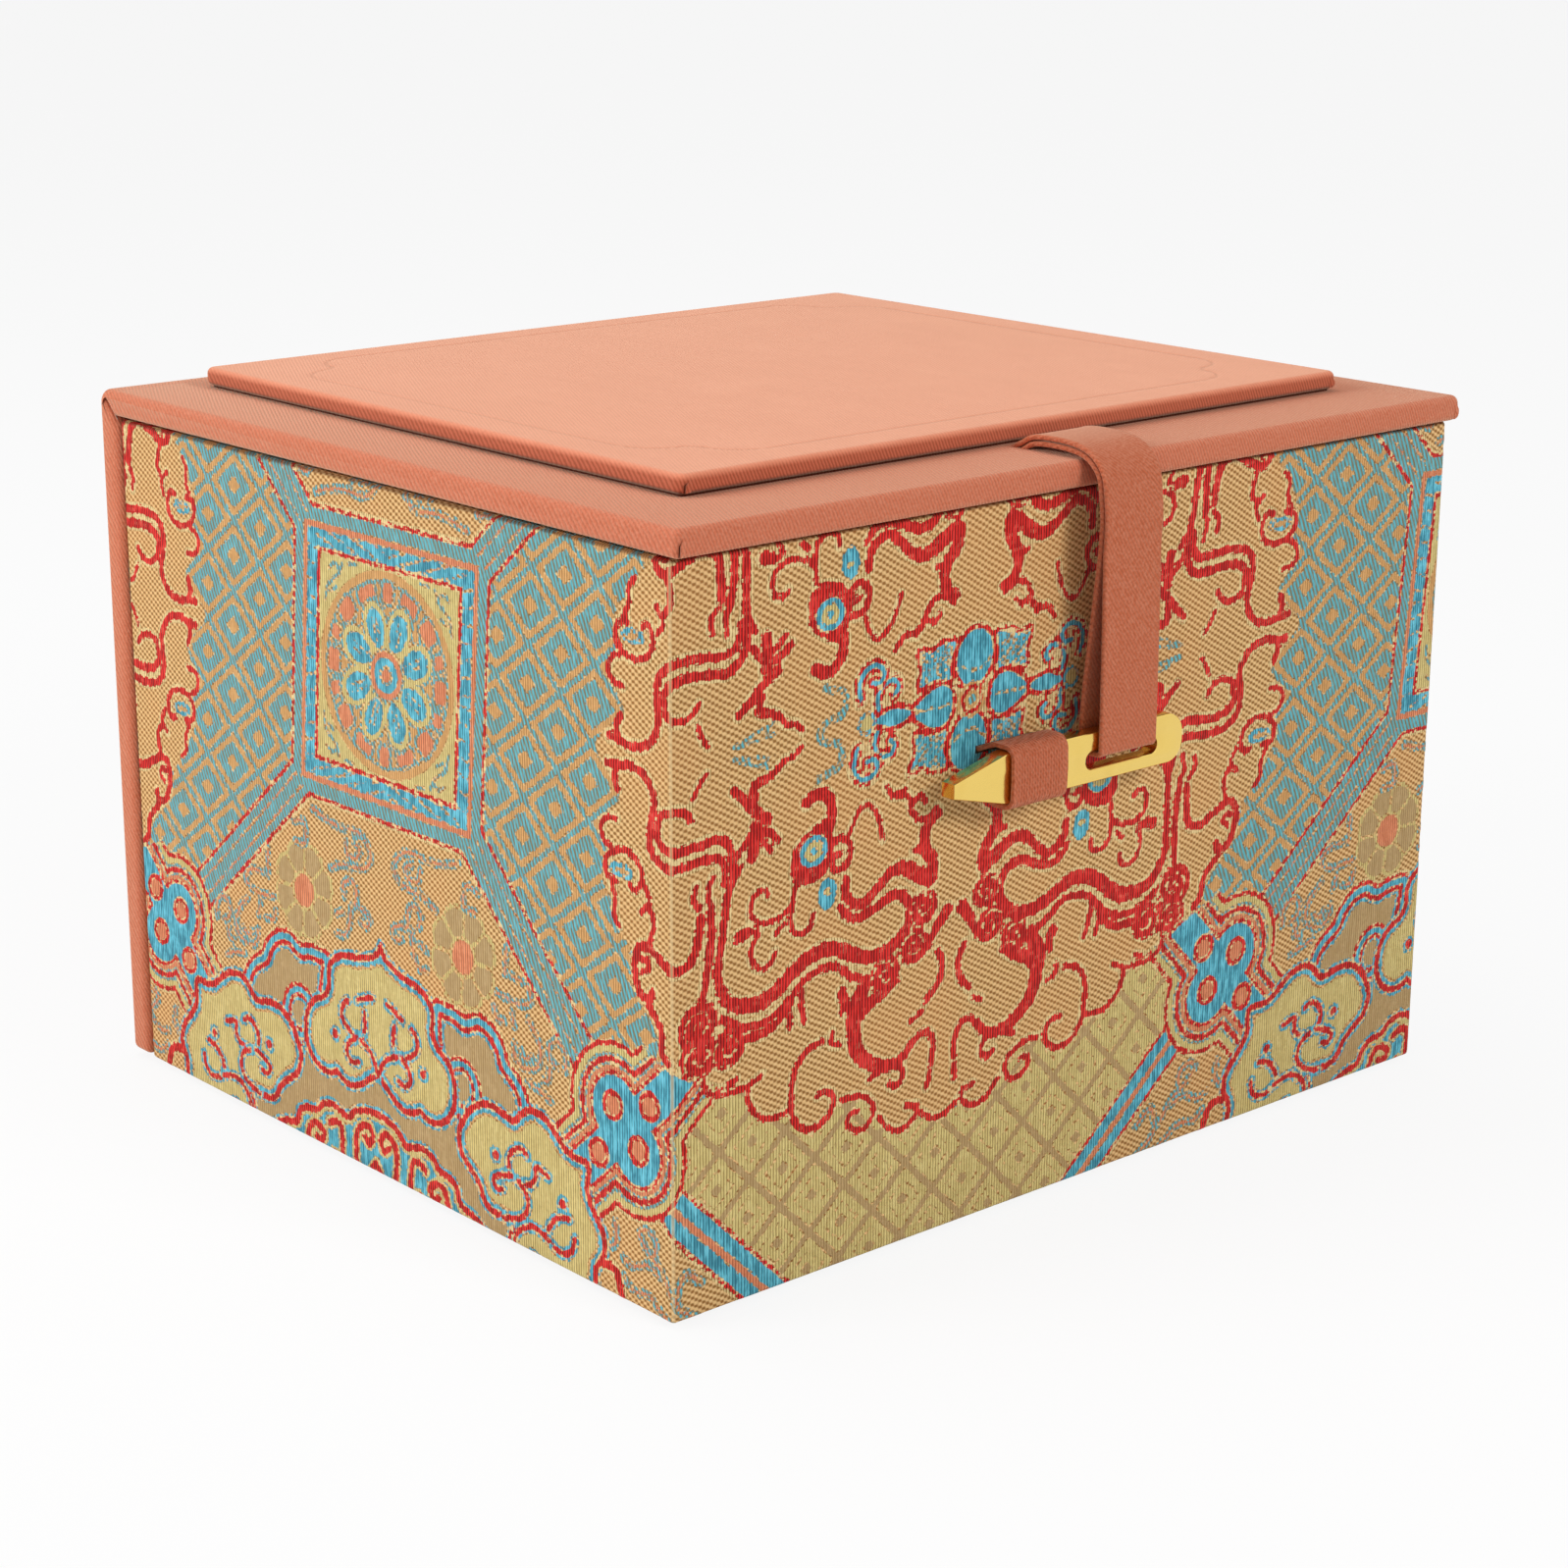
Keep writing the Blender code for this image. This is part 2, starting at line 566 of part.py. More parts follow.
def build_strap(lid_pivot, strap_pivot):
    """The doubled strap: a part that lies on the lid, and a drop that carries the toggle."""
    middle, split = strap_middle()
    layer = (STRAP_TAPE + STRAP_LAYER_GAP) / 2
    over = offset_curve(middle, -layer)
    under = offset_curve(middle, layer)

    anchor = middle[0]
    fold = arc(anchor, layer, 90, -90, 6)[1:-1]
    tab = [tuple(p) for p in over[:split + 1][::-1]] + fold + [tuple(p) for p in under[:split + 1]]
    ribbon("strap_tab", tab, 0.0, STRAP_WIDTH, STRAP_TAPE, COVER_CLOTH, lid_pivot)

    reach = TAPE_CLEARANCE + STRAP_TAPE / 2
    rear = TOGGLE_BACK + reach
    front = TOGGLE_FRONT - reach
    rim_top = TOGGLE_CENTRE + TOGGLE_HEIGHT / 2
    rear_start, front_start = under[-1], over[-1]
    span = rear_start[1] - rim_top
    runs = []
    for start, end, lean in ((rear_start, rear, REAR_LEAN), (front_start, front, FRONT_LEAN)):
        between = [(start[0] + (end - start[0]) * across, start[1] - span * down) for down, across in lean]
        runs.append(smooth_curve([tuple(start), *between, (end, rim_top)], CURVE_STEPS))
    rear_run, front_run = runs
    hook = arc((TOGGLE_BACK, SLOT_TOP), reach, 0, -90, 4)
    hook += arc((TOGGLE_FRONT, SLOT_TOP), reach, -90, -180, 4)
    begin = split + 1
    down = [tuple(p) for p in under[begin:-1]] + [tuple(p) for p in rear_run]
    up = [tuple(p) for p in front_run[::-1]] + [tuple(p) for p in over[begin:-1][::-1]]
    ribbon("strap_drop", down + hook + up, 0.0, STRAP_WIDTH, STRAP_TAPE, COVER_CLOTH, strap_pivot)


def strap_pocket():
    """Shallow pocket in the lid, under the panel's edge, for the end of the strap."""
    half = STRAP_TAPE + STRAP_LAYER_GAP / 2
    side = STRAP_WIDTH / 2 + POCKET_CLEARANCE
    low = (-side, PANEL_FRONT - STRAP_MOUTH - half, LID_TOP - STRAP_SINK - half - POCKET_CLEARANCE)
    high = (side, PANEL_FRONT + STRAP_ANCHOR + half + POCKET_CLEARANCE, LID_TOP + POCKET_CLEARANCE)
    return slab("strap_pocket", low, high, cutter=True)


def build_toggle(pivot):
    """The flat bar with a tapered tip, a rounded end and a slot, cut from an outline."""
    half = TOGGLE_HEIGHT / 2
    tip = TOGGLE_TIP_HEIGHT / 2
    right = TOGGLE_RIGHT - TOGGLE_END_ROUND
    outline = [(TOGGLE_LEFT, tip), (TOGGLE_LEFT, -tip), (TOGGLE_LEFT + TOGGLE_TAPER, -half)]
    outline += arc((right, -half + TOGGLE_END_ROUND), TOGGLE_END_ROUND, -90, 0, 6)
    outline += arc((right, half - TOGGLE_END_ROUND), TOGGLE_END_ROUND, 0, 90, 6)
    outline += [(TOGGLE_LEFT + TOGGLE_TAPER, half)]

    slot_end = SLOT_HEIGHT / 2
    slot_right = TOGGLE_RIGHT - SLOT_END_WALL - slot_end
    slot_left = slot_right - SLOT_LENGTH + SLOT_HEIGHT
    slot = arc((slot_right, -SLOT_DROP), slot_end, -90, 90, 6)
    slot += arc((slot_left, -SLOT_DROP), slot_end, 90, 270, 6)

    curve = bpy.data.curves.new("toggle_outline", "CURVE")
    curve.dimensions = "2D"
    curve.fill_mode = "BOTH"
    curve.extrude = TOGGLE_THICKNESS / 2
    for points in (outline, slot):
        spline = curve.splines.new("POLY")
        spline.points.add(len(points) - 1)
        for point, (x, z) in zip(spline.points, points):
            point.co = (x, z, 0.0, 1.0)
        spline.use_cyclic_u = True
    flat = bpy.data.objects.new("toggle_outline", curve)
    PARTS.objects.link(flat)
    mesh = bpy.data.meshes.new_from_object(flat.evaluated_get(bpy.context.evaluated_depsgraph_get()))
    form = bmesh.new()
    form.from_mesh(mesh)
    bmesh.ops.remove_doubles(form, verts=form.verts, dist=MERGE_DISTANCE)
    bmesh.ops.dissolve_limit(form, angle_limit=math.radians(1), verts=form.verts, edges=form.edges)
    form.to_mesh(mesh)
    form.free()
    bpy.data.objects.remove(flat, do_unlink=True)
    at = (0.0, (TOGGLE_BACK + TOGGLE_FRONT) / 2, TOGGLE_CENTRE)
    toggle = add_object("toggle", mesh, BRASS, pivot, at)
    toggle.rotation_euler.x = math.radians(90)
    bevel(toggle, TOGGLE_EDGE_ROUND)


def build_toggle_loop():
    """A tape over the toggle, which draws in behind it to two slits in the front wall."""
    left, right = loop_sides()
    top, bottom = loop_top(), loop_bottom()
    front = TOGGLE_FRONT - TAPE_CLEARANCE - STRAP_TAPE / 2
    behind = TOGGLE_BACK + TAPE_CLEARANCE
    inside = -HALF_DEPTH + LOOP_DEPTH_IN_WALL
    path = [(y, top - LOOP_DRAW_IN) for y in (inside, -HALF_DEPTH)] + [(behind, top)]
    path += arc((front + LOOP_CORNER, top - LOOP_CORNER), LOOP_CORNER, 90, 180, 5)
    path += arc((front + LOOP_CORNER, bottom + LOOP_CORNER), LOOP_CORNER, 180, 270, 5)
    path += [(behind, bottom)] + [(y, bottom + LOOP_DRAW_IN) for y in (-HALF_DEPTH, inside)]
    ribbon("toggle_loop", path, (left + right) / 2, LOOP_WIDTH, STRAP_TAPE, COVER_CLOTH)


def build_box():
    """Put the box together, piece by piece."""
    slits = loop_slits()
    recess_top, recess_back = hinge_recess()
    pocket = strap_pocket()
    lid_pivot = add_pivot("lid_pivot", (0.0, SPINE_OUT, LID_TOP))
    strap_pivot = add_pivot("strap_pivot", (0.0, LID_FRONT, LID_TOP), lid_pivot)
    toggle_pivot = add_pivot("toggle_pivot", (0.0, TOGGLE_BACK, SLOT_TOP), strap_pivot)
    build_base()
    build_walls(slits)
    build_brocade(slits)
    build_lining()
    build_spine(recess_back)
    build_lid(lid_pivot, recess_top, pocket)
    build_hinge()
    build_panel(lid_pivot)
    build_lid_lining(lid_pivot)
    build_strap(lid_pivot, strap_pivot)
    build_toggle(toggle_pivot)
    build_toggle_loop()
    print("hinge axis", round(SPINE_OUT, 5), round(LID_TOP, 5))
    print("strap axis", round(LID_FRONT, 5), round(LID_TOP, 5))
    print("overall height", round(PANEL_TOP, 5))


build_box()
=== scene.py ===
# %% [markdown]
# A rigid gift box: board walls in silk brocade, a lid and a spine board wrapped in salmon
# cloth, a raised velvety panel, a doubled strap with a brass toggle, and a velvet lining.
# The solid model is the frame. This lesson adds every surface round it, piece by piece.

import math

import bmesh
import bpy
import numpy as np
from mathutils import Matrix, Vector


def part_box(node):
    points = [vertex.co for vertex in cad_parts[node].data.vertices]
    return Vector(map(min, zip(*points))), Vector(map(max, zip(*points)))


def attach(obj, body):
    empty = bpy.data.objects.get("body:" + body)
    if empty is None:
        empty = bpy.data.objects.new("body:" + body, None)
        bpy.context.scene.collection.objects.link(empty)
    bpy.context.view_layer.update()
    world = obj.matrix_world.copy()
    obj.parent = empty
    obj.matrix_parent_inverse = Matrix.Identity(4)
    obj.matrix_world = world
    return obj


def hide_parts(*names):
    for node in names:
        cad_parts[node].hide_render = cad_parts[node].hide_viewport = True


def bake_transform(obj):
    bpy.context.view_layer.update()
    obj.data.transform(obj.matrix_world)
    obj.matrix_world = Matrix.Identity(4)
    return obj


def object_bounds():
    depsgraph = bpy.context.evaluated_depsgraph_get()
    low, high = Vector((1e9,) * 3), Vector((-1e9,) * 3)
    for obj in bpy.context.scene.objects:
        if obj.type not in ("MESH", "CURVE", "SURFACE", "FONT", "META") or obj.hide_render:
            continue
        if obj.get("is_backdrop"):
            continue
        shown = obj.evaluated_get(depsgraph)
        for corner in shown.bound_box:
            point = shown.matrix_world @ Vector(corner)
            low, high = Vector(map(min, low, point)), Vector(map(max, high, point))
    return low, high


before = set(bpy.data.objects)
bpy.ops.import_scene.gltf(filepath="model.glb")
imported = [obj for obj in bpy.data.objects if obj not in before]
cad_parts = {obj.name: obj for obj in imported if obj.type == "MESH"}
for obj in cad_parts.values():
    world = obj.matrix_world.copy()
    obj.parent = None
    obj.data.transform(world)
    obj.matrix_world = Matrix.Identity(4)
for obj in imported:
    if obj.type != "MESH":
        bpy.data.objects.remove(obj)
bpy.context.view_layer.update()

# %% [markdown]
# Everything is measured in metres, and MM turns millimetres into them. Colours are written
# as on a screen, from 0 to 255, and turned into the linear numbers that a shader wants.

# %% Units and colours
MM = 0.001


def colour(red, green, blue):
    """A screen colour, 0 to 255, as linear red, green, blue and alpha."""
    linear = [((c / 255 + 0.055) / 1.055) ** 2.4 if c > 10 else c / 3294.6 for c in (red, green, blue)]
    return (*linear, 1.0)


def scaled(shade, by):
    """A colour made darker or paler by a factor."""
    return (*(min(1.0, by * part) for part in shade[:3]), 1.0)


SALMON = colour(206, 113, 82)
print("salmon, linear:", [round(c, 3) for c in SALMON[:3]])

# %% [markdown]
# A finish is a tree of nodes, and so is the light of the room and a shape that is grown along
# a line. All are built alike: a node gets its settings, then the values or links of its sockets.

# %% Adding a node
def feed(tree, made, values):
    """Set a node's sockets to values, or link other sockets to them."""
    for key, value in values.items():
        value = getattr(value, "socket", value)
        if isinstance(value, bpy.types.NodeSocket):
            tree.links.new(value, made.inputs[key])
        else:
            made.inputs[key].default_value = value


def add_node(tree, kind, settings=None, values=None):
    """A new node: first its settings, then its sockets."""
    made = tree.nodes.new(kind)
    for key, value in (settings or {}).items():
        setattr(made, key, value)
    feed(tree, made, values or {})
    return made


print("nodes take values or links")

# %% [markdown]
# Shader maths is easier to read as sums than as boxes and wires. A Wire holds one socket
# and turns + - * / into Math nodes. A Finish is one material and makes its other nodes.

# %% Wires and finishes
class Wire:
    """One output of a shader node that can be used in sums, as in 1 - mask * 0.5."""

    def __init__(self, finish, made, output=0):
        self.finish = finish
        self.made = made
        self.socket = made.outputs[output]

    def out(self, output):
        """Another output of the same node."""
        return Wire(self.finish, self.made, output)

    def maths(self, operation, *others):
        """A Math node with this wire first."""
        return self.finish.node("ShaderNodeMath", {"operation": operation}, dict(enumerate((self, *others))))

    def __add__(self, other):
        return self.maths("ADD", other)

    def __sub__(self, other):
        return self.maths("SUBTRACT", other)

    def __mul__(self, other):
        return self.maths("MULTIPLY", other)

    def __truediv__(self, other):
        return self.maths("DIVIDE", other)

    def __rsub__(self, other):
        return self.finish.node("ShaderNodeMath", {"operation": "SUBTRACT"}, {0: other, 1: self})

    __radd__ = __add__

    def step(self, low, high):
        """0 below low, 1 above high, and a smooth rise between them."""
        values = {0: self, 1: low, 2: high, 3: 0.0, 4: 1.0}
        return self.finish.node("ShaderNodeMapRange", {"interpolation_type": "SMOOTHSTEP"}, values)

    def wave(self):
        """From 0 to 1 and back once for each whole number."""
        return (self * (2 * math.pi)).maths("COSINE") * -0.5 + 0.5

    def least(self, other):
        return self.maths("MINIMUM", other)

    def most(self, other):
        return self.maths("MAXIMUM", other)


class Finish:
    """One material: its Principled shader and the nodes that feed it."""

    def __init__(self, name, **uniform):
        self.material = bpy.data.materials.new(name)
        self.material.use_nodes = True
        self.tree = self.material.node_tree
        self.shader = self.tree.nodes["Principled BSDF"]
        self.set(**uniform)

    def set(self, **sockets):
        """Set the Principled shader's sockets, with _ for each space in their names."""
        feed(self.tree, self.shader, {name.replace("_", " "): value for name, value in sockets.items()})

    def node(self, kind, settings=None, values=None):
        """Any node of this material, as a wire."""
        return Wire(self, add_node(self.tree, kind, settings, values))

    def place(self):
        """Where a point of the piece is, in metres."""
        return self.node("ShaderNodeTexCoord").out("Object")

    def stored(self, name):
        """A number that the mesh stores on its points."""
        return self.node("ShaderNodeAttribute", {"attribute_name": name}).out("Fac")

    def mix(self, share, first, second):
        """Two colours mixed: the share of the second one."""
        return self.node("ShaderNodeMix", {"data_type": "RGBA"}, {0: share, 6: first, 7: second}).out(2)

    def noise(self, place, scale, detail=2.0, roughness=0.5):
        """Cloudy noise, from 0 to 1."""
        values = {"Vector": place, "Scale": scale, "Detail": detail, "Roughness": roughness}
        return self.node("ShaderNodeTexNoise", {}, values)

    def stretched(self, place, across, along, upright):
        """A place scaled by its own amount on each axis."""
        scale = (across, along, upright)
        return self.node("ShaderNodeVectorMath", {"operation": "MULTIPLY"}, {0: place, 1: scale})

    def bump(self, height, distance, strength=1.0):
        """Send a height to the shader's normal. distance is how high 1 stands, in metres."""
        values = {"Height": height, "Distance": distance, "Strength": strength}
        self.set(Normal=self.node("ShaderNodeBump", {}, values))


print("wires and finishes ready")

# %% [markdown]
# Most pieces here are a grid of points that follows a wall, a tape or a board's edge. One
# function turns it into a mesh, with the flat cloth in millimetres as its UV map, because a
# weave has to follow the cloth and not the room.

# %% A mesh from a grid of points
def grid_piece(name, grid, finish, flat=None, wrap=False, caps=False, keep=None, layers=None):
    """A piece from points in rows and columns. wrap joins the last column to the first.

    flat gives each point's place on the cloth, caps closes the first and last rows, keep
    says which squares stay, and layers are values stored on the points.
    """
    rows, columns = grid.shape[:2]
    index = np.arange(rows * columns).reshape(rows, columns)
    if wrap:
        index = np.hstack([index, index[:, :1]])
    squares = np.stack([index[:-1, :-1], index[:-1, 1:], index[1:, 1:], index[1:, :-1]], axis=-1)
    squares = squares[keep] if keep is not None else squares.reshape(-1, 4)
    mesh = bpy.data.meshes.new(name)
    mesh.vertices.add(rows * columns)
    mesh.vertices.foreach_set("co", grid.astype(np.float32).ravel())
    mesh.loops.add(squares.size)
    mesh.loops.foreach_set("vertex_index", squares.ravel().astype(np.int32))
    mesh.polygons.add(len(squares))
    mesh.polygons.foreach_set("loop_start", np.arange(0, squares.size, 4, dtype=np.int32))
    mesh.update(calc_edges=True)
    if flat is not None:
        place = np.arange(rows * flat.shape[1]).reshape(rows, flat.shape[1])
        corners = np.stack([place[:-1, :-1], place[:-1, 1:], place[1:, 1:], place[1:, :-1]], axis=-1)
        corners = corners[keep] if keep is not None else corners
        layout = mesh.uv_layers.new(name="cloth")
        layout.data.foreach_set("uv", flat.reshape(-1, 2)[corners.ravel()].astype(np.float32).ravel())
    for layer, values in (layers or {}).items():
        stored = mesh.attributes.new(layer, "FLOAT", "POINT")
        stored.data.foreach_set("value", values.astype(np.float32).ravel())
    if caps:
        form = bmesh.new()
        form.from_mesh(mesh)
        form.verts.ensure_lookup_table()
        ends = [form.faces.new([form.verts[i] for i in index[row, :columns]]) for row in (0, rows - 1)]
        bmesh.ops.recalc_face_normals(form, faces=form.faces)
        for face in form.faces:
            face.smooth = face not in ends
        form.to_mesh(mesh)
        form.free()
    return finished(name, mesh, finish, smooth=not caps)


def in_scene(name, data):
    """A new object in the scene for a mesh, a curve, a lamp or a camera."""
    made = bpy.data.objects.new(name, data)
    bpy.context.scene.collection.objects.link(made)
    return made


def finished(name, mesh, finish, sharp=50, smooth=True):
    """Put a mesh in the scene as a piece with a material."""
    mesh.materials.clear()
    mesh.materials.append(finish.material)
    if smooth:
        mesh.shade_smooth()
    mesh.set_sharp_from_angle(angle=math.radians(sharp))
    print(name, "triangles:", sum(len(face.vertices) - 2 for face in mesh.polygons))
    return in_scene(name, mesh)


def evaluated_mesh(piece):
    """The piece as its modifiers leave it, as a plain mesh."""
    return bpy.data.meshes.new_from_object(piece.evaluated_get(bpy.context.evaluated_depsgraph_get()))


def settle(piece, body, slot, *nodes):
    """Let a piece ride on a body and stand for solid nodes."""
    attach(piece, body)
    dress(piece, slot, *nodes)


def dress(piece, slot, *nodes):
    """Hide the solid nodes that a piece stands for. Its slot is not used."""
    if nodes:
        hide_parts(*nodes)


print("piece makers ready")

# %% [markdown]
# The brocade carries a traditional woven pattern: a flower among red scrolls, diamond
# lattices, banded squares with a roundel, and clouds. It repeats, and each repeat mirrors
# itself, so a quarter of it is enough. On that quarter every yarn gets a map of distances:
# below zero the yarn floats on the surface. A later shape covers an earlier one.

# %% Distances on one quarter of the repeat
TILE_WIDTH = 112.0
TILE_HEIGHT = 80.0
TILE_STEP = 0.25
FAR = 4.0
YARNS = ("shade", "gold", "cream", "peach", "teal", "blue", "red")
EVERYWHERE = (slice(None), slice(None))

tile_columns = int(TILE_WIDTH / TILE_STEP) + 1
tile_rows = int(TILE_HEIGHT / TILE_STEP) + 1
ACROSS, DOWN = np.meshgrid(np.arange(tile_columns) * TILE_STEP, np.arange(tile_rows) * TILE_STEP)
LAYERS = {yarn: np.full(ACROSS.shape, FAR) for yarn in YARNS}


def paint(yarn, distance, area=EVERYWHERE):
    """Let one yarn float on the surface where the distance is below zero."""
    for name, layer in LAYERS.items():
        if name == yarn:
            np.minimum(layer[area], distance, out=layer[area])
        else:
            np.maximum(layer[area], -distance, out=layer[area])


def nest(distance, *steps):
    """Paint one shape inside another: each step is how far its edge moves, and its yarn."""
    for offset, yarn in steps:
        paint(yarn, distance - offset)


def spot(across, down, radius):
    """Distance from a round spot."""
    return np.hypot(ACROSS - across, DOWN - down) - radius


def woven_share(yarn):
    """How much of the quarter a yarn covers, in per cent."""
    return round(100 * float((LAYERS[yarn] < 0).mean()), 1)


print("points on the quarter:", ACROSS.size)

# %% [markdown]
# A designer draws such a pattern with a brush, so most of it is lines. Here a line is a few
# listed points, in tenths of a millimetre from the middle of the big flower, with a
# smooth curve through them. A closed one is an outline, whose distance is negative inside.

# %% Smooth lines through chosen points
CURVE_STEPS = 5
LINE_MARGIN = 1.6
NO_LENGTH = 1e-9


def route(text):
    """Points written as 'across,down across,down', in tenths of a millimetre."""
    return np.array([[int(number) / 10 for number in pair.split(",")] for pair in text.split()])


def smooth(points, closed=False, steps=CURVE_STEPS):
    """A Catmull-Rom curve through the points."""
    if closed:
        padded = np.vstack([points[-1], points, points[:2]])
    else:
        padded = np.vstack([2 * points[0] - points[1], points, 2 * points[-1] - points[-2]])
    t = (np.arange(steps) / steps)[:, None]
    spans = []
    for a, b, c, d in zip(padded, padded[1:], padded[2:], padded[3:]):
        bend = (2 * a - 5 * b + 4 * c - d) * t ** 2 + (3 * b - a - 3 * c + d) * t ** 3
        spans.append(b + 0.5 * ((c - a) * t + bend))
    if not closed:
        spans.append(points[-1:])
    return np.vstack(spans)


def to_stretches(x, y, points):
    """Distance of places from each stretch of a line, and how far along it is nearest, 0 to 1."""
    start = points[:-1]
    step = points[1:] - start
    x = x[..., None] - start[:, 0]
    y = y[..., None] - start[:, 1]
    along = (x * step[:, 0] + y * step[:, 1]) / ((step ** 2).sum(axis=1) + NO_LENGTH)
    along = np.clip(along, 0, 1)
    return np.hypot(x - along * step[:, 0], y - along * step[:, 1]), along


def to_line(points, widths, area=EVERYWHERE):
    """Distance from a line whose width runs evenly from the first value to the second."""
    gap, along = to_stretches(ACROSS[area], DOWN[area], points)
    share = (np.arange(len(points) - 1) + along) / (len(points) - 1)
    half = 0.5 * (widths[0] + (widths[1] - widths[0]) * share)
    return (gap - half).min(axis=2)


def line(yarn, width, text):
    """A woven line through chosen points, of one width or with one for each end."""
    widths = np.broadcast_to(width, 2)
    points = smooth(route(text))
    margin = LINE_MARGIN + widths.max()
    low = np.floor((points.min(axis=0) - margin) / TILE_STEP).astype(int).clip(0)
    high = (np.ceil((points.max(axis=0) + margin) / TILE_STEP).astype(int) + 1).clip(0)
    area = (slice(low[1], high[1]), slice(low[0], high[0]))
    paint(yarn, to_line(points, widths, area), area)


def edged(yarn, width, edge_yarn, edge, text):
    """A line with a thinner line of another yarn along both its sides."""
    line(edge_yarn, width + 2 * edge, text)
    line(yarn, width, text)


def outline(points):
    """Signed distance from a closed outline, negative inside it."""
    points = np.vstack([points, points[:1]])
    distance = to_line(points, (0, 0))
    inside = np.zeros(ACROSS.shape, bool)
    for (x0, y0), (x1, y1) in zip(points, points[1:]):
        if y0 == y1:
            continue
        beside = (DOWN >= min(y0, y1)) & (DOWN < max(y0, y1))
        inside ^= beside & (ACROSS < x0 + (DOWN - y0) * (x1 - x0) / (y1 - y0))
    return np.where(inside, -distance, distance)


def drawn_outline(text):
    """Signed distance from a smooth closed line through chosen points."""
    return outline(smooth(route(text), closed=True))


def oval(across, down, half_across, half_down):
    """Distance from an oval, near enough for woven shapes."""
    ratio = np.hypot((ACROSS - across) / half_across, (DOWN - down) / half_down)
    return (ratio - 1) * min(half_across, half_down)


print("curve steps between two points:", CURVE_STEPS)

# %% [markdown]
# The cloth is divided first, as its weaver did: a scalloped region for the flower and its
# scrolls, slanted bands that meet a square, and diamond lattices that fill what is left.
# A diamond is where the sum of two distances is small, which needs no lines at all.

# %% Regions and bands
MIDDLE = TILE_WIDTH
FRAME = (22.8, 21.4)
BAND_NORMAL = (0.677, 0.736)
from_middle = MIDDLE - ACROSS


def side_of_band(across, down):
    """Signed distance from a slanted line, positive towards the far corner."""
    return (ACROSS - across) * BAND_NORMAL[0] + (DOWN - down) * BAND_NORMAL[1]


def diamonds(region, centre, pitch, figure):
    """Concentric diamonds in staggered rows, kept to a region."""
    across = (ACROSS - centre[0]) / pitch[0]
    down = (DOWN - centre[1]) / pitch[1]
    metric = np.full(ACROSS.shape, 9.0)
    for shift in (0.0, 0.5):
        beside = np.abs(across - shift - np.round(across - shift))
        under = np.abs(down - shift - np.round(down - shift))
        metric = np.minimum(metric, 2 * (beside + under))
    scale = pitch[0] * pitch[1] / (2 * math.hypot(*pitch))
    for inner, outer, yarn in figure:
        ring = np.maximum((metric - outer) * scale, (inner - metric) * scale)
        paint(yarn, np.maximum(ring, region))


scroll_region = drawn_outline("""
-90,-90 640,-90 660,-30 665,0 645,25 610,55 645,95 630,130 640,165 620,200 595,235 570,260 570,300 540,330
510,365 490,410 440,450 360,450 345,480 310,505 273,505 260,530 230,542 200,520 160,510 125,525 120,550
90,576 60,582 30,572 0,585 -90,585""")

teal_lattice = np.maximum(-scroll_region, side_of_band(89.2, 17.2))
teal_lattice = np.maximum(teal_lattice, FRAME[0] - from_middle)
paint("gold", teal_lattice)
TEAL_DIAMOND = [(0.26, 0.66, "teal"), (0.90, 1.10, "teal")]
diamonds(teal_lattice, (73.9, 0.0), (13.6, 10.4), TEAL_DIAMOND)

pale_lattice = np.maximum(-scroll_region, side_of_band(48.0, 57.5))
pale_lattice = np.maximum(pale_lattice, 44 - DOWN)
paint("cream", pale_lattice)
PALE_DIAMOND = [(-1.0, 0.2, "shade"), (0.5, 0.56, "shade"), (0.86, 1.10, "shade")]
diamonds(pale_lattice, (0.0, 63.0), (11.3, 10.4), PALE_DIAMOND)

frame_edge = np.maximum(from_middle - FRAME[0], DOWN - FRAME[1])
band_middle = np.abs(side_of_band(91.6, 19.1))
upper_band = np.maximum(band_middle - 3.2, np.maximum(60 - ACROSS, ACROSS - 96))
nest(np.minimum(frame_edge, upper_band), (0, "red"), (-0.55, "teal"))
band_thread = np.maximum(np.abs(band_middle - 1.1) - 0.24, -1.5 - frame_edge)
paint("peach", np.maximum(band_thread, upper_band))
lower_band = np.maximum(np.abs(side_of_band(48.0, 57.5)) - 2.95, ACROSS - 50)
nest(lower_band, (0, "red"), (-0.5, "blue"), (-2.4, "peach"))
nest(frame_edge, (-2.5, "peach"), (-3.5, "blue"), (-6.0, "red"), (-6.6, "cream"))

print("gold covers, %:", woven_share("gold"))

# %% [markdown]
# The blue border of the square is tied with thin slanted threads, like the turns of a rope.
# They repeat at an even step, so a loop lays them.

# %% Rope turns round the square
ROPE_WIDTH = 2.4
ROPE_MIDDLE = 4.75
side_run = from_middle - FRAME[0] + ROPE_MIDDLE
for turn in range(8):
    thread = np.abs(DOWN - turn * 2.4 - 0.8 - 0.22 * side_run) - 0.16
    upright = np.maximum(thread, np.abs(side_run) - ROPE_WIDTH / 2)
    paint("peach", np.maximum(upright, DOWN - 16.5))
end_run = DOWN - FRAME[1] + ROPE_MIDDLE
for turn in range(4):
    thread = np.abs(end_run - 0.3 * (from_middle - turn * 5.2)) - 0.18
    lying = np.maximum(thread, np.abs(end_run) - ROPE_WIDTH / 2)
    paint("peach", np.maximum(lying, from_middle - 17.5))

print("blue covers, %:", woven_share("blue"))

# %% [markdown]
# In the square sits a roundel: a ring of beads round a flower of eight petals. The angle is
# folded into one petal's share, so one oval makes them all.

# %% The roundel in the square
PETALS = 8
BEAD_RING = ((0, 1.7, 1.35), (20, 1.05, 1.4), (41, 1.75, 1.55), (67, 2.0, 1.15), (90, 1.2, 1.45))
BEAD_RADIUS = 12.5
RING_SHAPE = 0.93


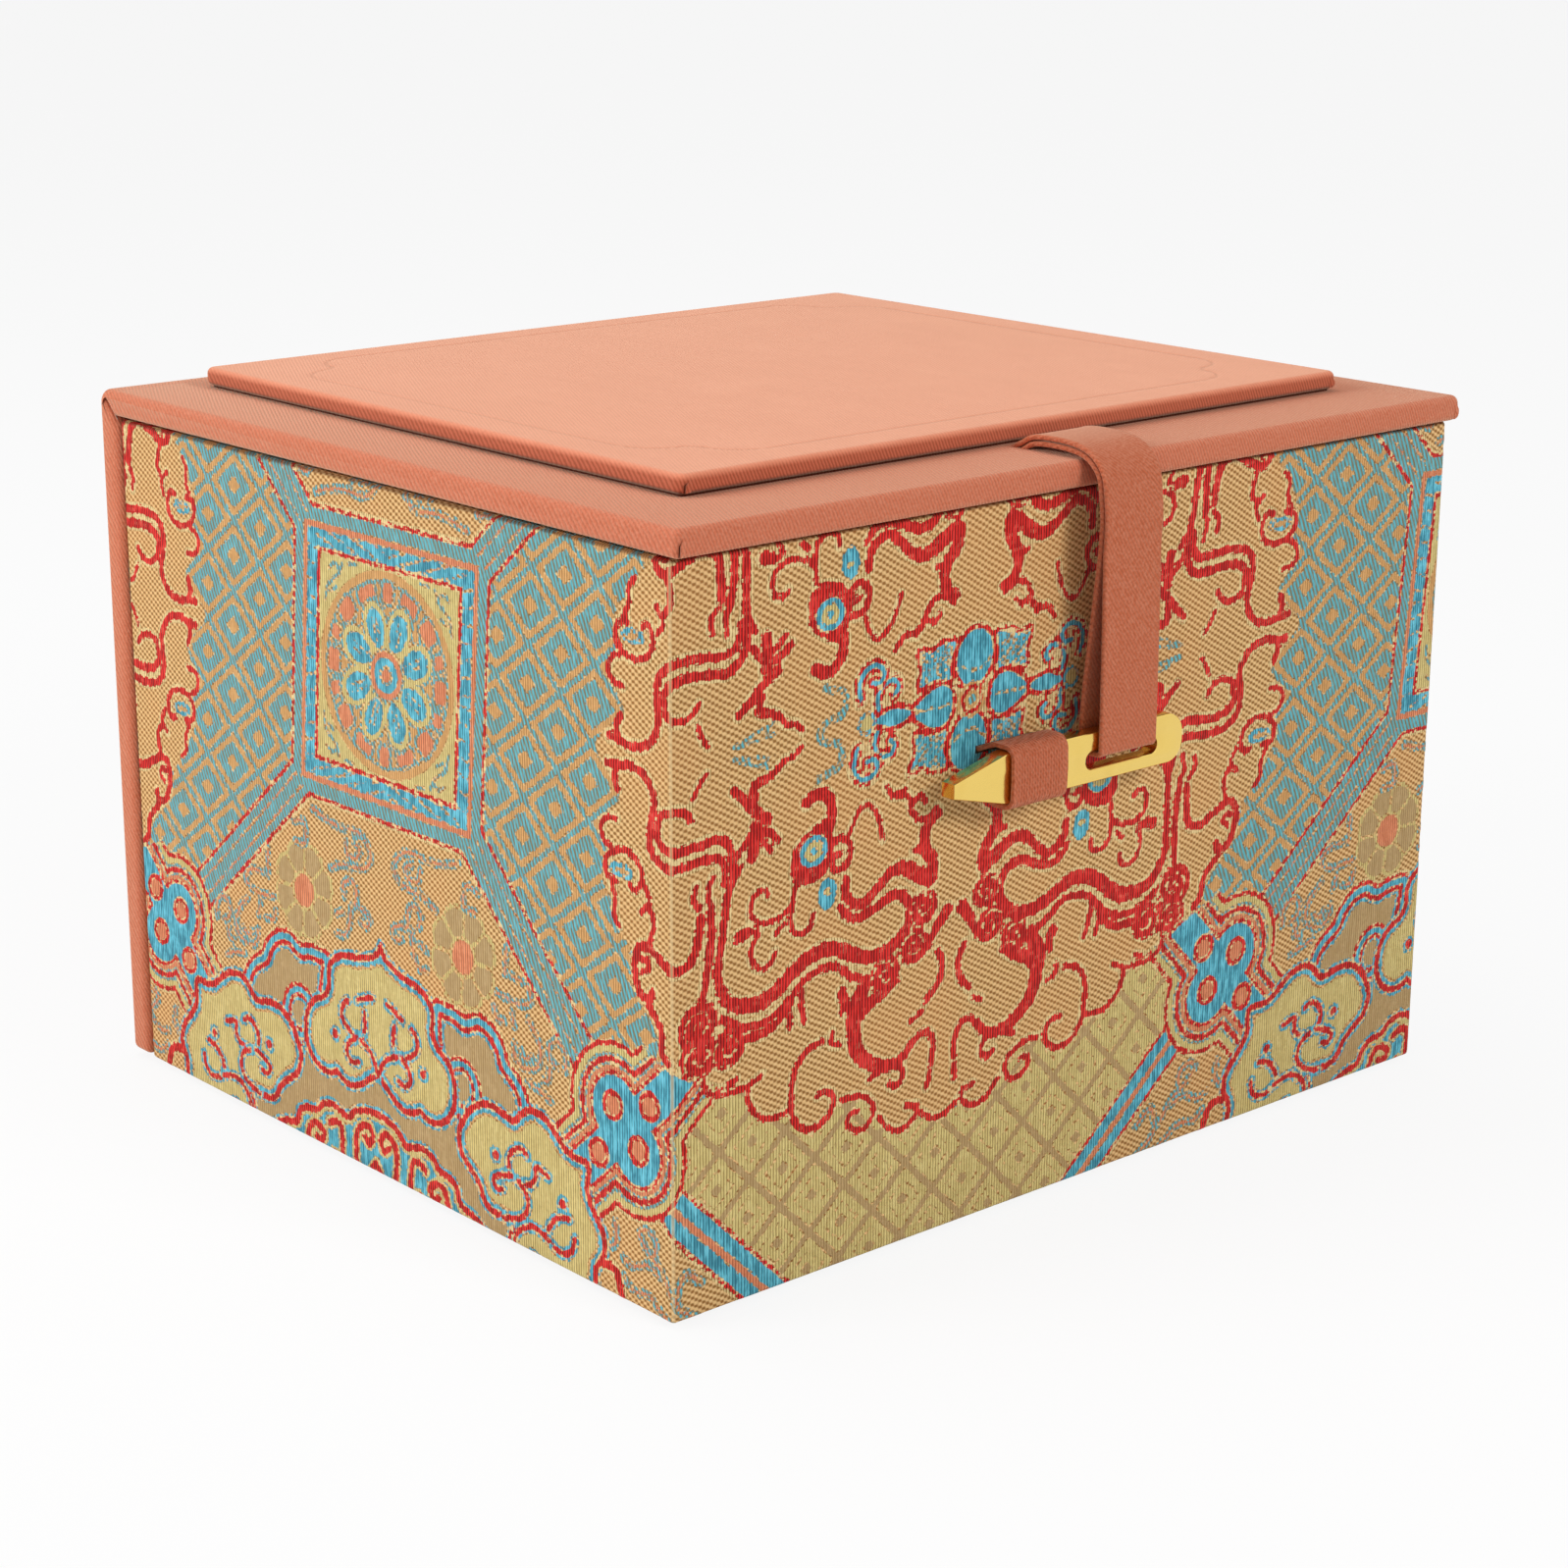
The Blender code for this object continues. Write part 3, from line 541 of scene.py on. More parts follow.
def rounded_box(across, down, half_across, half_down, turn, corner=0.7):
    """Distance from a box with round corners, turned by an angle."""
    x = from_middle - across
    y = DOWN - down
    over = np.abs(x * math.cos(turn) + y * math.sin(turn)) - half_across + corner
    up = np.abs(y * math.cos(turn) - x * math.sin(turn)) - half_down + corner
    return np.hypot(np.maximum(over, 0), np.maximum(up, 0)) + np.minimum(np.maximum(over, up), 0) - corner


reach = np.hypot(from_middle, DOWN / RING_SHAPE)
nest(reach - 15.7, (0, "gold"))
nest(reach - 14.3, (0, "teal"), (-0.45, "gold"))
for bead_angle, bead_width, bead_height in BEAD_RING:
    bead_turn = math.radians(bead_angle)
    bead_across = BEAD_RADIUS * math.cos(bead_turn)
    bead_down = BEAD_RADIUS * RING_SHAPE * math.sin(bead_turn)
    bead = rounded_box(bead_across, bead_down, bead_height, bead_width, bead_turn)
    nest(bead, (0.5, "teal"), (0, "peach"))
angle = np.arctan2(DOWN, from_middle)
petal_turn = (angle / (2 * math.pi) * PETALS) % 1 - 0.5
petal_side = reach * np.sin(petal_turn * 2 * math.pi / PETALS)
petal = (np.hypot((reach - 7.2) / 3.1, petal_side / (1.1 + reach * 0.13)) - 1) * 2.2
nest(petal, (1.1, "teal"), (0.75, "cream"), (-0.05, "blue"))
paint("teal", np.maximum(np.abs(np.abs(petal_side) - 0.5) - 0.14, np.abs(reach - 7.0) - 1.9))
nest(reach - 4.0, (0, "teal"), (-0.3, "peach"), (-1.3, "blue"))
nest(reach - 1.5, (0, "teal"), (-0.4, "peach"))
CORNER_LINES = """
972,82 978,104 989,113 1004,124 1012,139;
980,129 992,136 1002,132 1006,124;
984,96 998,103;
1026,141 1046,143"""
for corner_line in CORNER_LINES.split(";"):
    line("teal", 0.5, corner_line)

print("petals:", PETALS, "beads in a quarter:", len(BEAD_RING))

# %% [markdown]
# Below the square the ground carries a pale flower with a peach eye, its petals parted by
# pale threads, and thin two-coloured vines.

# %% Pale flower and vines under the square
PALE_FLOWER = (92.8, 36.1)
PALE_RADIUS = 7.4
reach = spot(*PALE_FLOWER, 0)
share = np.arctan2(DOWN - PALE_FLOWER[1], ACROSS - PALE_FLOWER[0]) / (2 * math.pi) * PETALS
lobe = reach - PALE_RADIUS * (0.86 + 0.14 * np.abs(np.sin(math.pi * share)) ** 0.6)
nest(lobe, (0.25, "cream"), (-0.3, "shade"))
spoke = np.abs((share + 0.5) % 1 - 0.5) * 2 * math.pi / PETALS * reach - 0.24
paint("cream", np.maximum(spoke, lobe))
nest(reach - PALE_RADIUS * 0.4, (0, "cream"), (-0.5, "peach"))
VINES = """
945,230 980,239 1020,243 1055,240 1080,250 1092,270 1080,289 1050,295 1020,298 993,310;
1030,260 1036,280 1056,280 1066,266 1052,258;
900,260 925,256 930,286 904,290;
833,320 834,360;
820,358 786,363 776,383 805,394 850,390;
1030,344 1026,326 1045,316 1059,330 1056,350 1076,353 1092,362 1086,376 1070,372;
1046,356 1043,382 1030,404 1010,402;
1010,374 1026,368;
698,460 697,436 715,423 732,432 732,450 717,459;
730,465 731,483 743,486;
780,410 760,428 750,450 755,470 775,480 795,480 807,468 808,452;
770,460 785,467 792,458;
725,513 750,503 775,499;
810,428 815,408;
830,427 850,426 855,410;
460,710 480,680 510,660 530,640 515,629 496,640 498,660;
560,685 540,690 510,678 486,686;
556,710 536,724 506,720 480,734 440,760;
580,640 576,665 590,680;
410,700 440,680 450,720 410,750"""
for vine in VINES.split(";"):
    edged("peach", 0.6, "teal", 0.4, vine)

print("vines:", VINES.count(";") + 1)

# %% [markdown]
# Where the bands cross there is a knot with four dots, ringed by many thin outlines. Each
# is painted from the same distance, with a smaller offset than the one before.

# %% The knots of four dots
KNOT = (57.0, 50.4)
KNOT_LOBES = ((59.2, 48.0), (54.2, 52.8))
along_knot = (ACROSS - KNOT[0]) * 0.717 + (DOWN - KNOT[1]) * 0.697
beside_knot = (ACROSS - KNOT[0]) * 0.697 - (DOWN - KNOT[1]) * 0.717
knot = np.maximum(np.abs(beside_knot) - 2.7, np.abs(along_knot + 0.6) - 14.2)
for across, down in KNOT_LOBES:
    knot = np.minimum(knot, spot(across, down, 4.6))
scroll_side = (39.5 + (50 - ACROSS) * 0.42 - DOWN) * 0.92
KNOT_RIMS = ((4.7, "red"), (4.0, "cream"), (3.0, "teal"), (2.5, "red"), (1.7, "teal"), (1.3, "peach"),
             (0.55, "red"), (0, "blue"))
for offset, yarn in KNOT_RIMS:
    paint(yarn, np.maximum(knot - offset, scroll_side))
for across, down in ((59.6, 47.7), (52.3, 45.7), (54.0, 52.5), (62.0, 55.2)):
    nest(spot(across, down, 2.15), (0, "red"), (-0.75, "peach"))

print("red covers, %:", woven_share("red"))

# %% [markdown]
# Lobed clouds fill the foot of the repeat. Each is an outline through listed points with
# nested rims of red, blue and gold, and curls of red drawn on top.

# %% Clouds under the square
def mirrored_outline(text):
    """Signed distance from a half outline and its mirror image about the square's middle line."""
    half = route(text)
    other = [2 * MIDDLE, 0] + half[::-1] * [-1, 1]
    return outline(smooth(np.vstack([half, other]), closed=True))


side_cloud = drawn_outline("""
995,450 960,440 935,442 920,446 890,434 855,442 830,465 820,484 795,500 775,526 770,570 920,600 980,540""")
nest(side_cloud, (0.3, "red"), (-0.35, "blue"), (-1.5, "red"), (-2.3, "blue"), (-2.9, "shade"))
nest(spot(92.2, 55.2, 0), (4.6, "red"), (4.0, "blue"), (3.0, "red"), (2.4, "blue"), (2.0, "shade"))
paint("shade", np.maximum(76 - ACROSS, 60 - DOWN))

middle_cloud = mirrored_outline("""
1120,396 1106,413 1070,426 1040,431 1020,436 1000,450 992,466 993,490 982,508 955,523 940,545 936,570
940,593 955,613 980,625 1004,624 1017,618 1030,625 1055,629 1080,620 1100,606 1120,593""")
nest(middle_cloud, (0.9, "blue"), (0.4, "red"), (-0.6, "blue"), (-1.35, "gold"), (-1.8, "cream"))

low_cloud = drawn_outline("""
640,578 670,575 690,570 710,555 730,542 755,536 775,540 790,552 803,564 816,563 840,558 870,559 895,572
913,593 926,620 917,650 890,670 873,685 864,702 846,713 818,714 796,717 802,740 796,780 780,840 640,840
616,750 614,720 598,690 605,662 625,638 640,614""")
nest(low_cloud, (0.9, "blue"), (0.45, "red"), (-0.6, "blue"), (-1.35, "gold"), (-1.8, "cream"))

CLOUD_CURLS = """
1042,500 1030,510 1027,526 1040,540 1060,548 1080,544 1085,530 1084,508;
1083,548 1065,552 1046,564 1042,580 1055,591 1072,587;
1075,552 1098,562 1110,574 1120,594;
1065,493 1083,485 1102,479;
724,622 750,616 752,635 766,647 790,649 808,642 812,623 802,608 786,600 772,606;
804,646 830,654 844,664 836,675 822,672;
790,650 770,662 766,684 783,703 818,714;
675,668 695,672 712,686 720,704 708,719 684,723 667,712 662,694;
716,714 750,706 776,716 790,732 794,760;
726,760 750,746 760,756"""
for curl_line in CLOUD_CURLS.split(";"):
    edged("red", 0.85, "blue", 0.5, curl_line)
for across, down in ((101.2, 55.9), (84.1, 62.7), (69.1, 65.1)):
    nest(spot(across, down, 1.3), (0, "blue"), (-0.55, "red"))

print("cloud curls:", CLOUD_CURLS.count(";") + 1)

# %% [markdown]
# The foot of the box cuts through a last medallion, so only its top shows. Such cloth is cut
# to the size of the walls and not to the pattern.

# %% The medallion that the foot of the box cuts off
low_medallion = mirrored_outline("""
1120,648 1090,651 1062,662 1047,675 1030,671 1005,667 980,675 965,688 940,692 920,705 913,723 890,729
865,739 848,760 840,840""")
nest(low_medallion, (0.5, "blue"), (0, "red"), (-1.1, "cream"), (-1.7, "blue"))
for ribbon_line in ("895,770 905,754 926,760", "942,770 950,726 970,715 988,726 980,740 968,736",
                    "1000,704 1020,696 1034,710 1035,780", "995,770 1014,746",
                    "1073,770 1070,705 1082,684 1102,680 1110,694 1100,706 1090,698", "1120,730 1100,756"):
    edged("red", 1.15, "cream", 0.45, ribbon_line)
line("red", 1.4, "603,706 576,708 564,728 556,770")

print("blue covers, %:", woven_share("blue"))

# %% [markdown]
# The big flower lies where the mirror lines cross, so a quarter of it is drawn: a side petal,
# an end petal, a leaf between them and a bud on the tip. Mirroring completes it.

# %% The flower in the middle of the scrolls
FLOWER_OUTLINES = """
35,0 38,17 52,28 72,26 90,16 112,0 90,-16 72,-26 52,-28 38,-17;
0,19 16,22 29,38 34,56 29,77 16,91 0,95 -16,91 -29,77 -34,56 -29,38 -16,22;
42,33 69,37 99,31 96,55 103,80 81,76 63,84 37,83 45,58;
108,0 124,9 144,12 162,7 176,0 162,-7 144,-12 124,-9"""
side_petal, end_petal, leaf, bud = [drawn_outline(points) for points in FLOWER_OUTLINES.split(";")]
nest(leaf, (0.6, "red"), (0, "blue"))
ribs = np.abs(((ACROSS - DOWN) / 1.35) % 1 - 0.5) * 0.95 - 0.2
paint("teal", np.maximum(ribs, leaf + 0.2))
for petal_edge in (side_petal, end_petal, bud):
    nest(petal_edge, (0.65, "red"), (0, "blue"))
line("cream", 0.35, "42,0 104,0")
line("cream", 0.35, "-29,54 -16,43 0,40 16,43 29,54")
nest(spot(0, 0, 2.5), (0, "gold"), (-0.5, "red"), (-1.15, "gold"), (-1.8, "teal"))
nest(spot(18.9, 0, 1.6), (0, "blue"), (-0.5, "cream"))
edged("blue", 0.85, "red", 0.45, "169,14 172,33 160,48 143,49 136,38 144,30")
edged("blue", 0.85, "red", 0.45, "202,32 206,55 194,72 176,74 164,63 170,51 184,52")
edged("cream", 0.3, "teal", 0.4, "269,0 266,10 250,15 233,20 228,35 233,49 250,54 266,59")
for leaf_line in ("414,9 380,20 350,30", "412,6 374,11 346,14", "364,24 354,14"):
    line("teal", 0.42, leaf_line)

print("cream covers, %:", woven_share("cream"))

# %% [markdown]
# The red scrolls are the boldest part. Each is a stroke: a width, or two for one that swells
# or tapers, and the points that it runs through. Floats spread a little over their
# neighbours, so every width grows by the same amount.

# %% Red scrolls
SCROLLS = """
1: 638,18 618,17 595,13 570,17 553,30 543,52 548,80 547,110 525,128 490,132 455,129 430,130 418,143 415,165;
0.9: 618,18 623,34 616,48;
1.1: 540,82 526,102 500,110 460,108 435,106 415,115 405,135 404,160 410,190 412,230 417,270 414,300 402,322;
0.8: 532,80 530,65 510,57 490,60 477,73;
0.5: 476,46 468,30 457,18;
1.1: 436,194 432,230 435,270 439,310;
1.2: 451,203 454,230 462,258 485,266 505,260;
0.7: 462,160 465,178 454,190;
0.7: 436,154 442,176 434,190;
0.7: 390,150 403,170;
1.3 2.1: 410,305 396,326 370,337 335,338;
2.1 1.7: 335,338 310,326 285,308 260,296 230,292 205,299 180,312 155,320;
1.7 0.9: 155,320 125,318 100,306 86,289 84,270 92,254 108,244 130,246 155,256 180,261 200,253 212,239;
0.9: 410,344 380,360 350,368 320,363 295,350 275,332 260,322 235,317 210,320 190,335 170,346 150,349;
0.9: 360,382 330,382 305,370 289,352;
0.8: 272,340 268,364 262,382;
0.7: 289,366 286,384;
1.2: 205,205 203,225 188,240 170,243 150,230;
1.2 2.3: 150,230 130,214 110,208 90,214 70,226 52,234;
2 1.3: 48,234 49,212 64,192 68,172 60,154 44,146;
1.4 0.5: 64,186 86,190;
0.6: 146,90 130,107 110,102;
0.5: 144,162 155,130 175,110 190,115 202,135 208,152;
0.7: 125,105 103,112 96,130 82,147 62,147 48,137;
0.6: 93,120 79,116 70,126;
1.5: 284,86 263,78 245,90 239,110 243,130;
0.8: 236,147 215,147 202,160 204,180 220,188 233,178 230,166 218,168;
0.6: 340,196 350,188 363,193 369,210 360,226 340,233 315,230 298,220;
0.6: 294,198 298,230 295,250 280,260 264,256 258,240;
0.6: 370,238 353,245 362,260 360,280 345,293 328,290 322,276;
1.5: 386,243 372,240;
0.6: 615,87 635,90 645,103 638,120 620,128;
0.7: 610,170 630,165 632,145 615,130 590,126 568,136 560,155 570,173 582,170;
0.6: 620,175 610,195 612,215 600,228;
0.6: 552,165 543,183 558,200;
0.7: 545,190 532,205 535,225 540,238;
1: 500,260 520,252 540,243 558,246 566,265 563,290 550,310 532,310 528,300;
0.7: 556,262 544,260 538,270 550,278;
0.9: 535,320 518,335 506,350 504,376 490,388;
0.6: 430,424 420,440 400,448 365,449 345,445 330,438;
0.6: 388,438 374,434;
0.65: 353,448 350,470 335,490 315,502 290,502 273,498;
0.75: 228,418 250,423 268,440 275,460 275,485 273,505 260,525 240,536 218,533 202,520 200,502 213,490
228,492;
0.6: 210,410 210,425 195,430;
0.65: 185,510 160,510 135,520 123,540 135,558 153,560 170,547 167,533 152,533;
0.65: 113,552 93,572 70,580 47,570 42,553 63,548;
0.65: 33,565 15,577 0,580;
2.2 2.4: 158,362 173,385 173,405;
2.4 0.9: 173,405 165,443 145,464 120,478 95,482 73,474 65,462;
2.4 0.5: 170,400 145,384 120,377 96,364;
0.8: 68,468 45,450 28,455 20,475 22,500;
0.7: 23,510 26,530;
0.8: 98,483 80,488 73,503 85,515 98,508;
0.9: 25,340 15,360 20,385 40,405;
0.6: 66,428 48,420;
1.6 0.7: 198,360 190,374 196,386;
0.9 1.4: 410,48 395,60 380,75 365,86 350,96;
1.2 0.5: 374,64 376,48 358,42 342,36 330,25 310,20 300,10;
0.9: 395,132 380,116 365,110 345,113 330,126;
1.6: 370,102 368,120 372,140;
0.7: 360,120 340,138;
1.8 0.8: 14,286 34,308 46,332;
0.6: 324,252 310,242;
0.6: 136,492 120,488"""
FLOAT_SPREAD = 0.28
for scroll in SCROLLS.split(";"):
    widths, points = scroll.split(":")
    line("red", np.array(widths.split(), float) + FLOAT_SPREAD, points)

print("scrolls:", SCROLLS.count(";") + 1, "red covers, %:", woven_share("red"))

# %% [markdown]
# Small rosettes sit where the scrolls curl in. The distance from the centre and the angle
# give a pale spiral inside each. A few gems in blue and cream finish the pattern.

# %% Rosettes and gems among the scrolls
ROSETTES = ((44.3, 34.6, 3.5), (44.0, 39.0, 3.2), (39.2, 38.8, 3.0), (6.0, 27.2, 2.7), (7.2, 32.3, 2.8),
            (12.2, 35.0, 2.7))
for across, down, radius in ROSETTES:
    x = ACROSS - across
    y = (DOWN - down) * 1.1
    reach = np.hypot(x, y)
    swirl = (reach / 1.55 - np.arctan2(y, x) / (2 * math.pi)) % 1
    paint("red", reach - radius)
    paint("cream", np.maximum((np.abs(swirl - 0.5) - 0.1) * 1.55, reach - radius + 0.3))
GEM_SETTING = "302,150 290,134 250,114 238,130 230,160 244,188 280,197 302,182"
paint("red", drawn_outline(GEM_SETTING))
nest(oval(26.6, 15.4, 2.5, 2.2), (0, "blue"), (-0.8, "cream"))
paint("blue", oval(26.6, 15.4, 0.6, 0.5))
nest(oval(23.7, 21.6, 1.6, 2.1), (0, "blue"))
paint("cream", oval(23.7, 21.4, 0.6, 0.5))
paint("blue", oval(60.0, 15.4, 2.3, 1.0))
paint("gold", oval(60.0, 15.4, 1.4, 0.45))
print("yarns, %:", {yarn: woven_share(yarn) for yarn in YARNS})

# %% [markdown]
# A place on the cloth is turned into a place on the quarter, mirrored left and right and up
# and down, and read between its points. The real cloth was glued on a little askew, so its
# upright lines lean by 0.083 mm in each millimetre.

# %% Look up the pattern anywhere on the cloth
SCROLL_MIDDLE = (51.6, 75.3)
CLOTH_SKEW = 0.083


def pattern_at(across, up):
    """Distance to each yarn's edge at places on the unrolled cloth, all in millimetres."""
    down = up - SCROLL_MIDDLE[1]
    over = across - SCROLL_MIDDLE[0] - CLOTH_SKEW * down
    over = np.abs((over + TILE_WIDTH) % (2 * TILE_WIDTH) - TILE_WIDTH) / TILE_STEP
    down = np.clip(np.abs(down), 0, TILE_HEIGHT) / TILE_STEP
    column = np.clip(over.astype(int), 0, tile_columns - 2)
    row = np.clip(down.astype(int), 0, tile_rows - 2)
    x = over - column
    y = down - row
    found = {}
    for yarn, layer in LAYERS.items():
        upper = layer[row, column] * (1 - x) + layer[row, column + 1] * x
        lower = layer[row + 1, column] * (1 - x) + layer[row + 1, column + 1] * x
        found[yarn] = upper * (1 - y) + lower * y
    return found


print("one repeat, mm:", 2 * TILE_WIDTH, "by", 2 * TILE_HEIGHT)

# %% [markdown]
# The ground of silk brocade is a twill: fine ridges that fall to the right. The figures are
# floats, yarns that lie loose and upright on top, half a millimetre apart, so the edge of a
# figure is a row of small teeth. Each yarn has its own colour and a darker one, which is
# painted shade in the gaps between floats and, for teal, the second colour of its strokes.

# %% The cloth's own measures
wrap_low, wrap_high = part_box("brocade_wrap")
BODY_TOP_MM = wrap_high.z / MM
WIDTH_MM = round(2 * wrap_high.x / MM, 3)
DEPTH_MM = round(2 * wrap_high.y / MM, 3)
WALL_STARTS = {"front": 0.0, "right": WIDTH_MM, "back": WIDTH_MM + DEPTH_MM, "left": -DEPTH_MM}
YARN_PITCH = 0.5
TWILL_WAVE = (0.63, 1.10)
DASH_WAVE = (0.95, -1.11)
STROKE_WAVE = (1.25, 0.55)
FLOAT_ROW = 0.45
EDGE_TEETH = 0.36
EDGE_SOFTNESS = 0.07
RIM_WIDTH = 0.40
# The second colour of each yarn is painted shade for the gaps between floats, except teal's, which is its
# second yarn.
YARN_COLOURS = {
    "shade": ((190, 160, 112), (150, 118, 72)),
    "gold": ((221, 168, 106), (159, 113, 64)),
    "cream": ((226, 206, 136), (140, 112, 56)),
    "peach": ((232, 146, 104), (150, 74, 46)),
    "teal": ((92, 181, 195), (126, 118, 90)),
    "blue": ((100, 192, 212), (28, 90, 112)),
    "red": ((238, 46, 40), (96, 10, 10)),
}
# Painted shade and highlight: the valley colour stands for shade between the ridges, and the glint for light
# on them.
GROUND_RIDGE = colour(229, 188, 130)
GROUND_VALLEY = colour(144, 101, 53)
GROUND_GLINT = colour(241, 205, 149)
RIM_LIGHT = colour(238, 214, 156)
RIM_DARK = colour(150, 116, 66)
print("cloth round the box, mm:", 2 * (WIDTH_MM + DEPTH_MM))

# %% [markdown]
# The shader lays the ground, then a pale rim beside the red lines, then each yarn where its
# distance is below zero. Random numbers nudge the edges and give single floats a painted highlight.

# %% Threads of the brocade
brocade = Finish("silk_brocade", Roughness=0.75, Specular_IOR_Level=0.15)
cloth_place = brocade.node("ShaderNodeUVMap", {"uv_map": "cloth"})
split_place = brocade.node("ShaderNodeSeparateXYZ", {}, {0: cloth_place})
across_mm = split_place.out("X")
up_mm = split_place.out("Y")
wander = brocade.noise(cloth_place, 0.35, 1.0) - 0.5
yarn_count = (across_mm + wander * 0.12) / YARN_PITCH
yarn_number = yarn_count.maths("FLOOR")
row_number = (up_mm / FLOAT_ROW + yarn_number * 0.37).maths("FLOOR")
cell = brocade.node("ShaderNodeCombineXYZ", {}, {0: yarn_number, 1: row_number})
cell_chance = brocade.node("ShaderNodeTexWhiteNoise", {"noise_dimensions": "2D"}, {"Vector": cell})
yarn_chance = brocade.node("ShaderNodeTexWhiteNoise", {"noise_dimensions": "1D"}, {"W": yarn_number})
tooth = (cell_chance - 0.5) * EDGE_TEETH
print("floats in a metre:", round(1000 / YARN_PITCH))

# %% [markdown]
# Two sets of slanted ridges cross on the ground, and a little noise breaks them up. Their
# valleys are painted shade, and the highest ridges get a painted highlight. The red lines have
# a pale rim, checked light and dark by the yarns that cross it.

# %% Ground twill and pale rims
def slanted(wave):
    """Ridges that cross the cloth: wave is how many there are in a millimetre across and up."""
    return (across_mm * wave[0] + up_mm * wave[1] + wander * 0.3).wave()


twill = slanted(TWILL_WAVE)
yarn_gap = (yarn_count + 0.5).wave()
yarn_round = 1 - yarn_gap
fleck = brocade.noise(cloth_place, 2.6, 1.0)
ridge = twill * 0.58 + slanted(DASH_WAVE) * 0.42 + (fleck - 0.5) * 0.5
# Painted shade in the valleys between the ridges.
ground = brocade.mix(ridge.step(0.1, 0.8), GROUND_VALLEY, GROUND_RIDGE)
# Painted highlight on the highest ridges.
ground = brocade.mix((ridge + cell_chance * 0.5).step(1.05, 1.4) * 0.6, ground, GROUND_GLINT)
patchy = brocade.noise(cloth_place, 0.05, 3.0)
ground = brocade.mix(patchy.step(0.35, 0.7) * 0.16, ground, colour(226, 150, 92))

distances = {yarn: brocade.stored(yarn) for yarn in YARNS}
rim_check = (yarn_round + cell_chance * 0.9).step(0.45, 1.1)
rim_colour = brocade.mix(rim_check, RIM_DARK, RIM_LIGHT)
rim = 1 - (distances["red"] + tooth * 0.6).step(RIM_WIDTH - 0.06, RIM_WIDTH + 0.1)
surface = brocade.mix(rim * 0.85, ground, rim_colour)
print("nodes for the ground:", len(brocade.tree.nodes))

# %% [markdown]
# Each float has its yarn's colour on its crown and painted shade in the gap beside it. Only
# teal is woven flat, in slanted strokes. Silk is glossy in one stretch and dull in the next,
# so a noise drawn out along the yarns paints highlight and shade in streaks on them, and
# single floats get a painted highlight at random. Single cream threads bind the red. Painted
# shade darkens the cloth just under the lid, and a painted highlight runs along each corner,
# where light catches the fold.

# %% The seven yarns
GAP_SHADE_SHARE = {"red": 0.92}
OTHER_GAP_SHADE_SHARE = 0.75
UNDER_LID_PAINTED_SHADE = colour(70, 36, 18)
FOLD_PAINTED_HIGHLIGHT = colour(240, 210, 158)
BINDING_THREAD = colour(244, 190, 150)
STREAKS = {"shade": 0.15, "gold": 0.15, "cream": 0.15, "peach": 0.2, "teal": 0.25, "blue": 0.55, "red": 0.4}


def paler(screen_colour, by):
    """A screen colour with the same amount added to its red, green and blue."""
    return colour(*(min(255, part + by) for part in screen_colour))


figure = None
streak = brocade.noise(brocade.stretched(cloth_place, 1.5, 0.33, 1.0), 1.0, 2.0)
dull = 1 - streak.step(0.36, 0.52)
gloss = streak.step(0.52, 0.68)
for yarn in YARNS:
    light, dark = YARN_COLOURS[yarn]
    dark_shade = colour(*dark)
    inside = 1 - (distances[yarn] + tooth).step(-EDGE_SOFTNESS, EDGE_SOFTNESS)
    # Painted shade: the gap between floats takes the yarn's darker colour.
    depth = (yarn_gap * 1.1 - cell_chance * 0.16).step(0.22, 0.9)
    tint = brocade.mix(depth * GAP_SHADE_SHARE.get(yarn, OTHER_GAP_SHADE_SHARE), colour(*light), dark_shade)
    if yarn == "teal":
        tint = brocade.mix(slanted(STROKE_WAVE).step(0.25, 0.75), dark_shade, colour(*light))
    # Painted highlight: single floats are made paler at random.
    shine = (yarn_chance * 0.5 + cell_chance * 0.5).step(0.35, 1.0)
    tint = brocade.mix(shine * 0.22, tint, paler(light, 24))
    # Painted shade and painted highlight: dull and glossy streaks along the silk.
    tint = brocade.mix(dull * STREAKS[yarn], tint, dark_shade)
    tint = brocade.mix(gloss * STREAKS[yarn], tint, paler(light, 36))
    surface = brocade.mix(inside, surface, tint)
    figure = inside if figure is None else figure.most(inside)

bind = (cell_chance * yarn_gap).step(0.84, 0.95) * (1 - distances["red"].step(-0.1, 0.1))
surface = brocade.mix(bind * 0.75, surface, BINDING_THREAD)
height = ridge * (1 - figure) * 0.5 + figure * (0.45 + yarn_round * 0.55)
# Painted shade: a dark line on the cloth just under the lid, where the lid's shadow falls. It fades out over
# the rim.
under_lid_shade = up_mm.step(BODY_TOP_MM - 0.6, BODY_TOP_MM - 0.2) - up_mm.step(BODY_TOP_MM, BODY_TOP_MM + 0.4)
surface = brocade.mix(under_lid_shade * 0.6, surface, UNDER_LID_PAINTED_SHADE)
# Painted highlight: a pale line along each corner of the walls, where light catches the fold.
corner_away = across_mm.maths("ABSOLUTE")
for corner_place in list(WALL_STARTS.values())[1:]:
    corner_away = corner_away.least((across_mm - corner_place).maths("ABSOLUTE"))
surface = brocade.mix((1 - corner_away.step(0.12, 0.4)) * 0.5, surface, FOLD_PAINTED_HIGHLIGHT)
brocade.bump(height, 0.2 * MM, 0.9)
brocade.set(Base_Color=surface, Roughness=0.85 - figure * 0.25)
print("brocade nodes:", len(brocade.tree.nodes))

# %% [markdown]
# The real box has one wrap of brocade. Here each wall is its own fine grid, split in the
# middle of the rounded corners, with rows that follow the cloth round the foot and the rim.
# Figures stand out a little from the ground, so the relief is in the mesh too.

